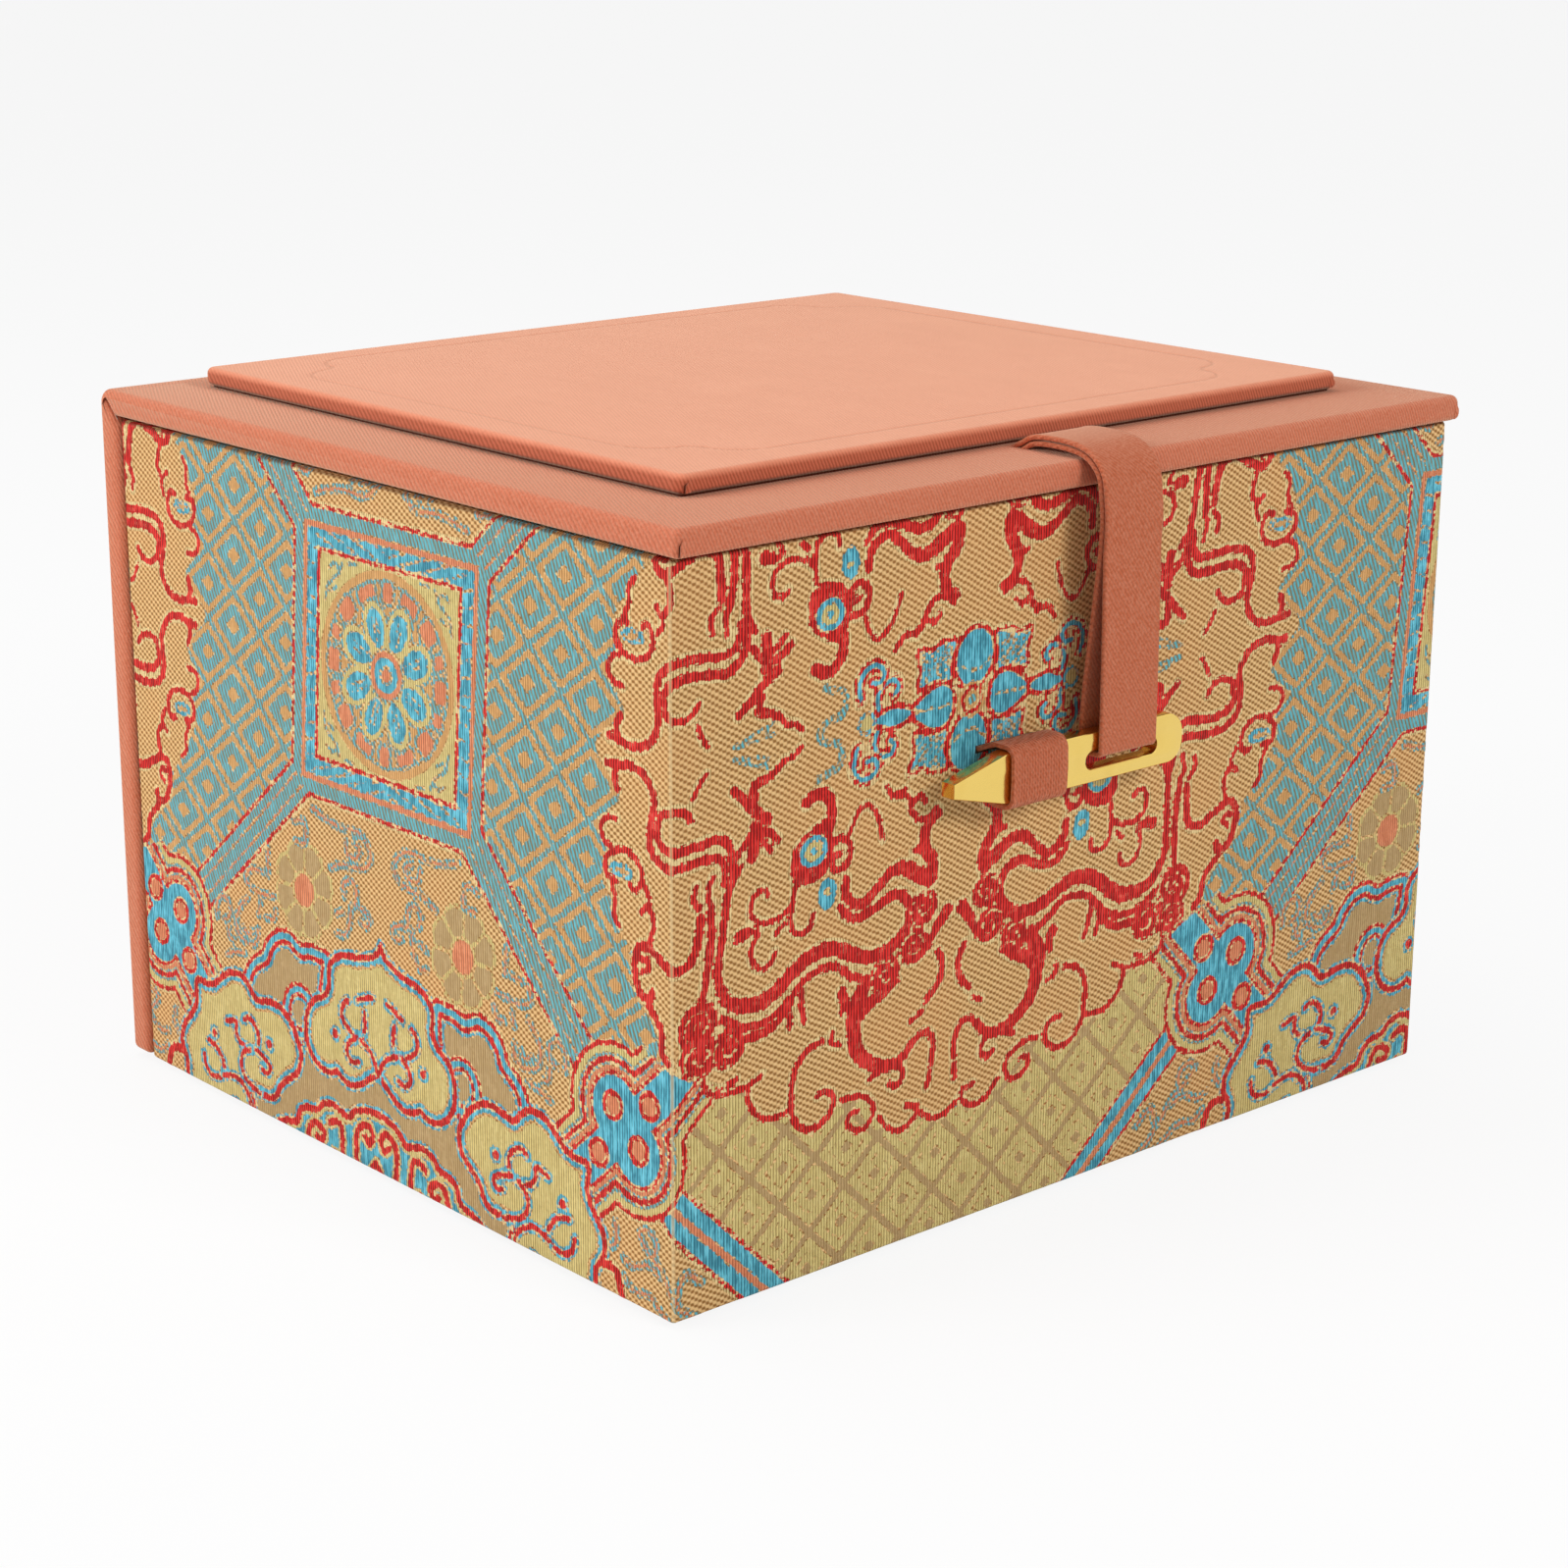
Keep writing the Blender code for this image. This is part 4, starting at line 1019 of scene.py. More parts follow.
# %% Rows and columns of a wall
HALF_WIDTH = wrap_high.x
HALF_DEPTH = wrap_high.y
BODY_TOP = wrap_high.z
WRAP_BOTTOM = wrap_low.z
CORNER_ROUND = 0.75 * MM
EDGE_ROUND = 0.6 * MM
FLOAT_RELIEF = 0.07
RIM_DEPTH = 3.6 * MM
RIM_TURN_IN = 9.6 * MM
FOOT_TURN_IN = 15.0 * MM
WALL_SPANS = 2 * (2 * HALF_WIDTH, 2 * HALF_DEPTH)
LEAST_ROUND = 0.15 * MM


def corner_path(span, places, inset):
    """Points along a wall seen from above, from the middle of one rounded corner to the next.

    places run from 0 to span, and inset moves the wall inwards. Returns how far along and
    how far out each point is, and its outward lean.
    """
    radius = max(CORNER_ROUND - inset, LEAST_ROUND)
    middle = span / 2 - inset - radius
    share = np.clip((np.abs(places - span / 2) - span / 2 + CORNER_ROUND) / CORNER_ROUND, 0, 1)
    lean = share * math.pi / 4 * np.sign(places - span / 2)
    flat = np.clip((places - span / 2) / (span / 2 - CORNER_ROUND), -1, 1) * middle
    return flat + radius * np.sin(lean), -radius * (1 - np.cos(lean)) - inset, lean


def wall_grid(side, places, insets, heights):
    """A grid of points on one side of the box, and the outward direction of each column."""
    span = WALL_SPANS[side]
    out = HALF_DEPTH if side % 2 == 0 else HALF_WIDTH
    grid = []
    for inset, height in zip(insets, heights):
        along, beyond, lean = corner_path(span, places, inset)
        grid.append(np.column_stack([along, -(out + beyond), np.full(len(places), height)]))
    turn = np.array(Matrix.Rotation(math.radians(90 * side), 3, "Z"))
    outward = np.column_stack([np.sin(lean), -np.cos(lean), np.zeros(len(places))])
    return np.array(grid) @ turn.T, outward @ turn.T


def even_steps(start, end, step):
    """Evenly spaced values from start to end, about step apart."""
    return np.linspace(start, end, max(2, int(round(abs(end - start) / step)) + 1))


def lengths_along(line):
    """How far each point of a line is from its start, along the line."""
    return np.concatenate([[0], np.cumsum(np.linalg.norm(np.diff(line, axis=0), axis=1))])


def edge_rows(start, end, radius, lift, count=4):
    """Insets and heights round a quarter turn of an edge, from start to end in degrees."""
    angles = np.radians(np.linspace(start, end, count + 1))
    return radius * (1 - np.cos(angles)), lift + radius * np.sin(angles)


print("wall spans, mm:", [round(span / MM, 1) for span in WALL_SPANS])

# %% [markdown]
# The cloth loop on the front goes through two slits, so the front grid leaves a few squares
# open there. The grid's lines are moved onto the edges of the slits first.

# %% Walls of brocade
WALL_STEP = {"front": 0.405, "right": 0.395, "back": 3.0, "left": 0.395}
SLIT_HALF = 0.55
loop_low, loop_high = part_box("toggle_loop")
LOOP_DRAW_IN = 1.3
LOOP_HALF_TAPE = 0.3
SLIT_INSET = LOOP_HALF_TAPE + LOOP_DRAW_IN
SLIT_HEIGHTS = (loop_low.z / MM + SLIT_INSET, loop_high.z / MM - SLIT_INSET)
SLIT_SIDES = (loop_low.x / MM - LOOP_HALF_TAPE, loop_high.x / MM + LOOP_HALF_TAPE)


def with_cuts(values, cuts):
    """Move the nearest steps of a row of values onto the cuts."""
    values = values.copy()
    for cut in cuts:
        values[np.abs(values - cut).argmin()] = cut
    return values


def wall_rows(step):
    """Insets, heights and places up the cloth, from under the foot to the top of the rim."""
    foot_in, foot_up = edge_rows(-90, 0, EDGE_ROUND, WRAP_BOTTOM + EDGE_ROUND)
    top_in, top_up = edge_rows(0, 90, EDGE_ROUND, BODY_TOP - EDGE_ROUND)
    middle = even_steps(foot_up[-1], top_up[0], step)
    if step < MM:
        edges = [(height + side * SLIT_HALF) * MM for height in SLIT_HEIGHTS for side in (-1, 1)]
        middle = with_cuts(middle, edges)
    insets = np.concatenate([foot_in, np.zeros(len(middle) - 2), top_in])
    heights = np.concatenate([foot_up, middle[1:-1], top_up])
    place = lengths_along(np.column_stack([insets, heights]))
    return insets, heights, (place - place[np.abs(heights - middle[1]).argmin()] + middle[1]) / MM


def build_wall(side, name):
    """One wall's brocade, with its pattern stored on the points."""
    start = WALL_STARTS[name]
    step = WALL_STEP[name] * MM
    places = even_steps(0, WALL_SPANS[side], step)
    if name == "front":
        places = with_cuts(places, [edge * MM + HALF_WIDTH for edge in SLIT_SIDES])
    insets, heights, up = wall_rows(step)
    grid, outward = wall_grid(side, places, insets, heights)
    across, up = np.meshgrid(start + places / MM, up)
    layers = pattern_at(across, up)
    nearest = np.minimum.reduce(list(layers.values()))
    relief = FLOAT_RELIEF * MM * np.clip(0.5 - nearest / 0.4, 0, 1)
    grid += relief[..., None] * outward[None]
    keep = np.ones((len(heights) - 1, len(places) - 1), bool)
    if name == "front":
        x = (places[:-1] + places[1:]) / 2 / MM - HALF_WIDTH / MM
        z = (heights[:-1] + heights[1:]) / 2 / MM
        between = (x > SLIT_SIDES[0]) & (x < SLIT_SIDES[1])
        for height in SLIT_HEIGHTS:
            keep &= ~((np.abs(z - height) < SLIT_HALF)[:, None] & between[None])
    flat = np.stack([across, up], axis=-1)
    return grid_piece("brocade_" + name, grid, brocade, flat, keep=keep, layers=layers)


for side, wall_name in enumerate(WALL_STARTS):
    wall = build_wall(side, wall_name)
    settle(wall, "box", "brocade", "brocade_wrap")

# %% [markdown]
# Where the cloth turns over the rim and under the foot, it is seen only when the lid is up
# or the box lies on its side. Coarser grids do for these.

# %% Brocade over the rim and under the foot
TURN_STEP = 0.5


def turned_edge(name, insets, heights, start_up, step):
    """Four strips that carry the brocade round an edge, joined in one piece."""
    strips = []
    up = start_up + lengths_along(np.column_stack([insets, heights])) / MM
    for side, (wall_name, start) in enumerate(WALL_STARTS.items()):
        places = even_steps(0, WALL_SPANS[side], step)
        grid, _ = wall_grid(side, places, insets, heights)
        across, climb = np.meshgrid(start + places / MM, up)
        strip = grid_piece(f"{name}_{wall_name}", grid, brocade, np.stack([across, climb], axis=-1),
                           layers=pattern_at(across, climb))
        strips.append(strip)
    with bpy.context.temp_override(active_object=strips[0], selected_editable_objects=strips):
        bpy.ops.object.join()
    strips[0].name = name
    settle(strips[0], "box", "brocade", "brocade_wrap")


inner_in, inner_up = edge_rows(90, 0, EDGE_ROUND, BODY_TOP - EDGE_ROUND)
rim_insets = np.concatenate([[EDGE_ROUND, RIM_DEPTH / 2], RIM_DEPTH - inner_in, [RIM_DEPTH, RIM_DEPTH]])
rim_foot = [BODY_TOP - RIM_TURN_IN / 2, BODY_TOP - RIM_TURN_IN]
rim_heights = np.concatenate([[BODY_TOP, BODY_TOP], inner_up, rim_foot])
turned_edge("brocade_rim", rim_insets, rim_heights, BODY_TOP / MM - 0.2, TURN_STEP * MM)
foot_insets = np.array([FOOT_TURN_IN, FOOT_TURN_IN / 2, EDGE_ROUND])
foot_heights = np.full(3, WRAP_BOTTOM)
foot_start = WRAP_BOTTOM / MM - FOOT_TURN_IN / MM
turned_edge("brocade_foot", foot_insets, foot_heights, foot_start, 2 * TURN_STEP * MM)

# %% [markdown]
# Lid, spine and strap are of salmon twill. On the lid its ridges run steeply down to the
# left, half a millimetre apart. Fibres on top scatter light, so the cloth looks paler at a
# slant. Sheen does that, and a little cloudy noise stands for uneven dye.

# %% Salmon twill finish
COVER_TWILL = (1750, -950, 820)
TAPE_TWILL = (1500, 700, 1100)
# Painted shade: the twill's valleys take a darker copy of the cloth's colour.
VALLEY_DARK = 0.72
CLOUD_DARK = 0.82
# Painted shade for the slits beside corner folds and for the gap under the panel.
PAINTED_CREASE_SHADE = colour(78, 30, 18)
FIBRE_PALE = colour(246, 186, 156)


def twill_ridge(finish, place, fuzz, ridge_run):
    """Slanted ridges. ridge_run is how many of them a metre crosses on each axis."""
    run = finish.node("ShaderNodeVectorMath", {"operation": "DOT_PRODUCT"}, {0: place, 1: ridge_run})
    return (run.out("Value") + (fuzz - 0.5) * 0.5).wave()


def twill_cloth(name, base, ridge_run, ridge_depth, sheen):
    """Twill cloth of one colour."""
    finish = Finish(name, Roughness=0.92, Sheen_Weight=sheen, Sheen_Roughness=0.42,
                    Sheen_Tint=colour(255, 236, 206), Specular_IOR_Level=0.04)
    place = finish.place()
    ridge = twill_ridge(finish, place, finish.noise(place, 900, 2.0), ridge_run)
    fibres = finish.noise(place, 2600, 1.0)
    clouds = finish.noise(place, 45, 3.0)
    # Painted shade in the valleys between the ridges.
    shade = finish.mix(ridge.step(0.0, 0.8) * 0.75 + 0.25, scaled(base, VALLEY_DARK), base)
    shade = finish.mix((fibres - 0.35).most(0.0) * 0.5, shade, FIBRE_PALE)
    shade = finish.mix((clouds - 0.5).maths("ABSOLUTE") * 0.6, shade, scaled(base, CLOUD_DARK))
    # Painted shade: the slits beside the corner folds are darkened.
    pressed_and_shaded = finish.stored("pressed_and_shaded")
    shade = finish.mix(pressed_and_shaded, shade, PAINTED_CREASE_SHADE)
    finish.bump(ridge * 0.7 + fibres * 0.5, ridge_depth * MM, 0.9)
    finish.set(Base_Color=shade)
    return finish


cover_cloth = twill_cloth("salmon_twill", SALMON, COVER_TWILL, 0.08, 0.6)
tape_cloth = twill_cloth("strap_twill", colour(190, 100, 68), TAPE_TWILL, 0.05, 0.4)
print("cloth nodes:", len(cover_cloth.tree.nodes))

# %% [markdown]
# A cloth-covered board has no sharp edge. The function below sweeps the outline of the
# board's end along X, and near each end it asks for a slightly smaller outline at each step,
# so those edges are round too.

# %% A board with rounded edges
END_STEPS = 6
END_SPACING = 6 * MM
TINY_ROUND = 0.08 * MM


def along_x(places, lines):
    """Rows of points: each line in Y and Z, put at its place along X."""
    return np.array([np.column_stack([np.full(len(line), x), line]) for x, line in zip(places, lines)])


def end_stations(half_width, end_round, step):
    """Places along X and how far the outline has shrunk at each, both ends rounded."""
    angles = np.linspace(0, math.pi / 2, END_STEPS + 1)
    tip = half_width - end_round + end_round * np.sin(angles)
    shrink = end_round * (1 - np.cos(angles))
    middle = even_steps(-half_width + end_round, half_width - end_round, step)
    places = np.concatenate([-tip[::-1], middle[1:-1], tip])
    insets = np.concatenate([shrink[::-1], np.zeros(len(middle) - 2), shrink])
    return places, insets


def rounded_board(name, outline_at, x_range, end_round, finish):
    """A board between two X places. outline_at gives the end's Y and Z, shrunk by an inset."""
    middle = (x_range[0] + x_range[1]) / 2
    places, insets = end_stations((x_range[1] - x_range[0]) / 2, end_round, END_SPACING)
    rows = along_x(middle + places, [outline_at(inset) for inset in insets])
    return grid_piece(name, rows, finish, wrap=True, caps=True)


lid_low, lid_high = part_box("lid_cover")
spine_low, spine_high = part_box("spine_cover")
LID_TOP = lid_high.z
LID_BOTTOM = lid_low.z
LID_FRONT = lid_low.y
SPINE_OUT = spine_high.y
print("lid thickness, mm:", round((LID_TOP - LID_BOTTOM) / MM, 2))

# %% [markdown]
# Lid and spine meet along the back in a mitre, a joint cut at 45 degrees, so that the cloth
# can run round the outer corner without a step. Each board therefore ends in a slope.

# %% Lid and spine in their cloth
BULLNOSE = 1.2 * MM
BACK_ROUND = 2.2 * MM
MITRE_GAP = 0.1 * MM
MITRE_ANGLE = 45
MITRE_LAST = 88


def arc(centre, radius, first, last, steps=6):
    """Points on an arc in Y and Z, its angles in degrees."""
    angles = np.radians(np.linspace(first, last, steps + 1))
    return np.array(centre) + radius * np.column_stack([np.cos(angles), np.sin(angles)])


def lid_outline(along, thickness, inset):
    """A board's end in Y and Z: a round edge at along, and a sloping cut under a round back corner."""
    round_by = max(BULLNOSE - inset, TINY_ROUND)
    nose = along + inset + round_by
    upper = arc((nose, LID_TOP - inset - round_by), round_by, 90, 180)
    lower = arc((nose, LID_TOP - thickness + inset + round_by), round_by, 180, 270)
    centre = np.array([SPINE_OUT - BACK_ROUND - MITRE_GAP, LID_TOP - BACK_ROUND])
    reach = BACK_ROUND - inset
    first = min(MITRE_ANGLE + math.degrees(math.asin(min(1, inset / reach))), MITRE_LAST)
    foot_up = LID_TOP - thickness + inset - centre[1]
    foot = centre + [foot_up - math.sqrt(2) * inset, foot_up]
    return np.vstack([upper, lower, foot, arc(centre, reach, first, 90)])


def spine_outline(along, thickness, inset):
    """The same board stood on end: Y and Z change places about the outer corner."""
    lying = lid_outline(SPINE_OUT - LID_TOP + along, thickness, inset)
    return np.column_stack([SPINE_OUT - LID_TOP + lying[:, 1], LID_TOP - SPINE_OUT + lying[:, 0]])[::-1]


COVERED_BOARDS = (
    ("lid", lid_outline, LID_FRONT, LID_TOP - LID_BOTTOM),
    ("spine", spine_outline, spine_low.z, SPINE_OUT - spine_low.y),
)
for board, outline_of, along, thickness in COVERED_BOARDS:
    low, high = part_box(board + "_cover")
    piece = rounded_board(board + "_cloth", lambda inset: outline_of(along, thickness, inset),
                          (low.x, high.x), BULLNOSE, cover_cloth)
    settle(piece, "lid" if board == "lid" else "box", "salmon_cloth", board + "_cover")

# %% [markdown]
# The hinge is nothing but cloth that bends over the mitred corner.

# %% Cloth hinge
STRIP_REACH = 3.4 * MM
STRIP_PROUD = 0.03 * MM
STRIP_SINK = 0.12 * MM
STRIP_STEP = 3 * MM


def strip_line(inset):
    """The strip's path up the spine, round the corner and on to the lid, in Y and Z."""
    radius = BACK_ROUND + STRIP_PROUD - inset
    centre = np.array([SPINE_OUT - BACK_ROUND, LID_TOP - BACK_ROUND])
    bend = arc(centre, radius, 0, 90, 16)
    tail = ((STRIP_REACH / 2, 0), (STRIP_REACH, STRIP_SINK))
    below = [bend[0] + [-sink, -reach] for reach, sink in tail[::-1]]
    above = [bend[-1] + [-reach, -sink] for reach, sink in tail]
    return np.vstack([below, bend, above])


places, insets = end_stations(lid_high.x, BULLNOSE, STRIP_STEP)
strip_rows = along_x(places, [strip_line(inset) for inset in insets])
hinge_strip = grid_piece("hinge_strip", strip_rows, cover_cloth)
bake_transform(hinge_strip)
dress(hinge_strip, "salmon_cloth", "hinge_cloth")

# %% [markdown]
# Velvet has a short upright pile. It is dark face on and pale at a slant, which Sheen gives,
# and it shows soft patches where the pile leans, which a slow noise gives.

# %% Velvet finish
VELVET_PILE = 0.10 * MM


def velvet(name, base):
    """Short upright pile: dark face on, pale at a slant, with soft patches where it leans."""
    finish = Finish(name, Roughness=1.0, Sheen_Weight=0.8, Sheen_Roughness=0.3,
                    Sheen_Tint=colour(255, 205, 180), Specular_IOR_Level=0.1)
    place = finish.place()
    lean = finish.noise(place, 38, 3.0, 0.6)
    tufts = finish.noise(place, 2400, 1.0)
    shade = finish.mix(lean.step(0.35, 0.7), scaled(base, 0.72), base)
    shade = finish.mix(tufts.step(0.4, 0.75) * 0.3, shade, scaled(base, 1.4))
    finish.bump(tufts + lean * 2.0, VELVET_PILE, 0.7)
    finish.set(Base_Color=shade)
    return finish


lining_velvet = velvet("wall_velvet", colour(176, 86, 66))
cushion_velvet = velvet("pad_velvet", colour(184, 94, 72))
print("velvet nodes:", len(lining_velvet.tree.nodes))

# %% [markdown]
# Inside, a strip of lining is glued to the rim and to the lid, with a fold between. It hides
# the joint and stops the lid when it comes taut, at about 110 degrees. It is a single sheet
# on a half circle.

# %% Hinge lining
FOLD_SPARE = 0.1 * MM
FOLD_TAIL = 4 * MM
FOLD_STEP = 4 * MM
fold_low, fold_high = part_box("hinge_lining")
fold_turn = (fold_high.z - fold_low.z) / 2 - FOLD_SPARE
fold_centre = (fold_high.y - fold_turn - FOLD_SPARE, (fold_low.z + fold_high.z) / 2)
fold_bend = arc(fold_centre, fold_turn, -90, 90, 24)
fold_start = [fold_bend[0, 0] - FOLD_TAIL, fold_bend[0, 1]]
fold_path = np.vstack([fold_start, fold_bend, [fold_low.y, fold_bend[-1, 1]]])
fold_places = even_steps(fold_low.x, fold_high.x, FOLD_STEP)
hinge_fold = grid_piece("hinge_fold", along_x(fold_places, [fold_path] * len(fold_places)), lining_velvet)
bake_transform(hinge_fold)
dress(hinge_fold, "lining_velvet", "hinge_lining")

# %% [markdown]
# The raised panel is a thin board in a napped cloth: a twill whose fibres were brushed up.
# Its ridges hardly show on top, and show well on the sides, where the nap is pulled tight.
# The sides are given darker colours than the top, as painted shade. The mesh stores how much
# of each point is side, and one number for the pressed groove and the painted shade under the
# foot, for the shader.

# %% Panel finish
panel_cloth = Finish("panel_nap", Roughness=0.95, Sheen_Weight=0.55, Sheen_Roughness=0.5,
                     Sheen_Tint=colour(255, 232, 204), Specular_IOR_Level=0.04)
panel_place = panel_cloth.place()
brushed = panel_cloth.noise(panel_cloth.stretched(panel_place, 260, 60, 200), 1.0, 3.0, 0.6)
nap = panel_cloth.noise(panel_place, 1400, 2.0)
dye = panel_cloth.noise(panel_place, 70, 4.0, 0.6)
rib = twill_ridge(panel_cloth, panel_place, nap, COVER_TWILL)
PANEL_COLOUR = colour(226, 138, 106)
PANEL_LAYERS = (
    (brushed.step(0.3, 0.75) * 0.35, colour(216, 128, 96)),
    (dye.step(0.45, 0.75) * 0.3, colour(236, 152, 120)),
    (nap.step(0.5, 0.8) * 0.25, colour(190, 106, 78)),
    # Painted shade in the twill's valleys.
    ((1 - rib.step(0.2, 0.8)) * 0.16, colour(160, 84, 58)),
)
panel_shade = PANEL_COLOUR
for share, tint in PANEL_LAYERS:
    panel_shade = panel_cloth.mix(share, panel_shade, tint)
# Painted shade: the sides take darker colours than the top, though the cloth is the same.
shaded_side = panel_cloth.stored("side")
painted_side_shade = panel_cloth.mix(rib.step(0.1, 0.8), colour(166, 86, 60), colour(198, 110, 82))
panel_shade = panel_cloth.mix(shaded_side, panel_shade, painted_side_shade)
pressed_and_shaded = panel_cloth.stored("pressed_and_shaded")
# Painted shade darkens the pressed groove.
panel_shade = panel_cloth.mix(pressed_and_shaded * 0.6, panel_shade, colour(166, 92, 66))
# Painted shade: the gap under the foot and the slits of the corner folds are dark.
panel_shade = panel_cloth.mix(pressed_and_shaded * shaded_side, panel_shade, PAINTED_CREASE_SHADE)
panel_cloth.bump(nap * 0.5 + rib * 0.5 + brushed * 0.3, 0.06 * MM, 0.8)
panel_cloth.set(Base_Color=panel_shade)
print("panel nodes:", len(panel_cloth.tree.nodes))

# %% [markdown]
# A frame line is pressed into the panel. It keeps clear of each corner with a notch: an arc,
# a short step and a second arc. Mirrored copies of one notch, corner by corner from the near
# left one, make the whole line.

# %% Frame line of the panel
panel_low, panel_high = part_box("panel_cover")
FRAME_INSETS = ((6.9 * MM, 7.3 * MM), (7.2 * MM, 6.3 * MM))
NOTCH_REACH = 14.0 * MM
NOTCH_ARC = 6.2 * MM
GROOVE_HALF = 0.28 * MM
GROOVE_DEPTH = 0.14 * MM


near_left = np.array(panel_low.xy) + FRAME_INSETS[0]
far_right = np.array(panel_high.xy) - FRAME_INSETS[1]
notch_arc = arc((NOTCH_REACH, NOTCH_ARC), NOTCH_ARC, -90, -180, 8)
notch = np.vstack([notch_arc, notch_arc[::-1, ::-1]])
line_points = np.vstack([near_left + notch[::-1], [far_right[0], near_left[1]] + notch * [-1, 1],
                         far_right - notch[::-1], [near_left[0], far_right[1]] + notch * [1, -1]])
print("points on the frame line:", len(line_points))

# %% [markdown]
# The panel is one fine grid: its top, the round edge, and the sides down to the lid. A
# point's ring is 0 on top and more the further it is round the edge, and gives how far out
# and down it lies. Then the corners are rounded and the line is pressed in.

# %% Raised panel
PANEL_STEP = 0.42 * MM
PANEL_ROUND = 0.9 * MM
PANEL_FOOT_ROUND = 1.0 * MM
PANEL_CORNER = 1.6 * MM
TOP_SPARE = 0.1 * MM


def panel_grid():
    """Rows and columns over the panel's top, down its round edges and under it."""
    half = np.array([panel_high.x - panel_low.x, panel_high.y - panel_low.y]) / 2
    middle = np.array([panel_high.x + panel_low.x, panel_high.y + panel_low.y]) / 2
    angles = np.radians(np.linspace(0, 90, 6))
    foot = panel_high.z - panel_low.z - PANEL_FOOT_ROUND
    glued = PANEL_ROUND - PANEL_FOOT_ROUND
    foot_out = glued + PANEL_FOOT_ROUND * np.cos(angles)
    edge_out = np.concatenate([PANEL_ROUND * np.sin(angles), foot_out, [glued]])
    edge_down = np.concatenate([PANEL_ROUND * (1 - np.cos(angles)), foot + PANEL_FOOT_ROUND * np.sin(angles),
                                [panel_high.z - LID_TOP]])
    rings = np.arange(len(edge_out))
    sides = []
    for size in half:
        top = even_steps(-size + PANEL_ROUND, size - PANEL_ROUND, PANEL_STEP)
        last = len(rings) - 1
        start = np.concatenate([np.full(last, top[0]), top, np.full(last, top[-1])])
        way = np.concatenate([np.full(last, -1), np.zeros(len(top)), np.full(last, 1)])
        ring = np.concatenate([rings[:0:-1], np.zeros(len(top), int), rings[1:]])
        sides.append((start, way, ring))
    (start_x, way_x, ring_x), (start_y, way_y, ring_y) = sides
    ring = np.maximum(ring_x[None, :], ring_y[:, None])
    x = start_x[None, :] + way_x[None, :] * np.minimum(edge_out[ring_x][None, :], edge_out[ring])
    y = start_y[:, None] + way_y[:, None] * np.minimum(edge_out[ring_y][:, None], edge_out[ring])
    return x + middle[0], y + middle[1], panel_high.z - edge_down[ring], half, middle


x, y, z, half, middle = panel_grid()
corner_x = np.maximum(np.abs(x - middle[0]) - half[0] + PANEL_CORNER, 0)
corner_y = np.maximum(np.abs(y - middle[1]) - half[1] + PANEL_CORNER, 0)
spread = np.hypot(corner_x, corner_y)
pull = np.where(spread > 0, np.maximum(corner_x, corner_y) / np.maximum(spread, 1e-9), 1.0)
x -= np.sign(x - middle[0]) * corner_x * (1 - pull)
y -= np.sign(y - middle[1]) * corner_y * (1 - pull)
closed_line = np.vstack([line_points, line_points[:1]]) / MM
from_line = to_stretches(x / MM, y / MM, closed_line)[0].min(axis=2) * MM
groove_and_shade = np.clip(1 - from_line / GROOVE_HALF, 0, 1)
groove_and_shade = groove_and_shade * groove_and_shade * (3 - 2 * groove_and_shade) * (z > panel_high.z - TOP_SPARE)
z -= groove_and_shade * GROOVE_DEPTH
side = np.clip((panel_high.z - z) / PANEL_ROUND * 1.4 - 0.35, 0, 1)
# The ring under the panel's foot is stored for painted shadow.
foot_shadow = (panel_low.z + 0.6 * PANEL_FOOT_ROUND - z) / (0.4 * PANEL_FOOT_ROUND)
groove_and_shade = np.maximum(groove_and_shade, np.clip(foot_shadow, 0, 1))
panel_layers = {"pressed_and_shaded": groove_and_shade, "side": side}
panel = grid_piece("lid_panel", np.stack([x, y, z], axis=-1), panel_cloth, layers=panel_layers)
settle(panel, "lid", "panel_velvet", "panel_cover")

# %% [markdown]
# Where cloth is folded round the corner of a board it ends in a lip with a slit beside it,
# darkened with painted shade. Each fold is a small patch that follows the round corner and
# stands a little proud.

# %% Corner folds
FOLD_LIFT = 0.24 * MM
FOLD_ROWS = 15
FOLD_START = 0.25 * MM
FOLD_REACH = 0.7
FOLD_FADE = 2.6
FOLD_LEAN = 0.35
FOLD_CLEAR = 0.03 * MM
FOLD_ANGLES = (48, 54, 58, 62, 64, 68, 74, 82, 90, 98)
FOLD_HEIGHTS = (0.1, 0.0, -0.05, -0.05, 1.0, 0.95, 0.75, 0.5, 0.25, 0.05)
FOLD_SLIT_SHADE = (0, 0.4, 1, 1, 0.3, 0, 0, 0, 0, 0)


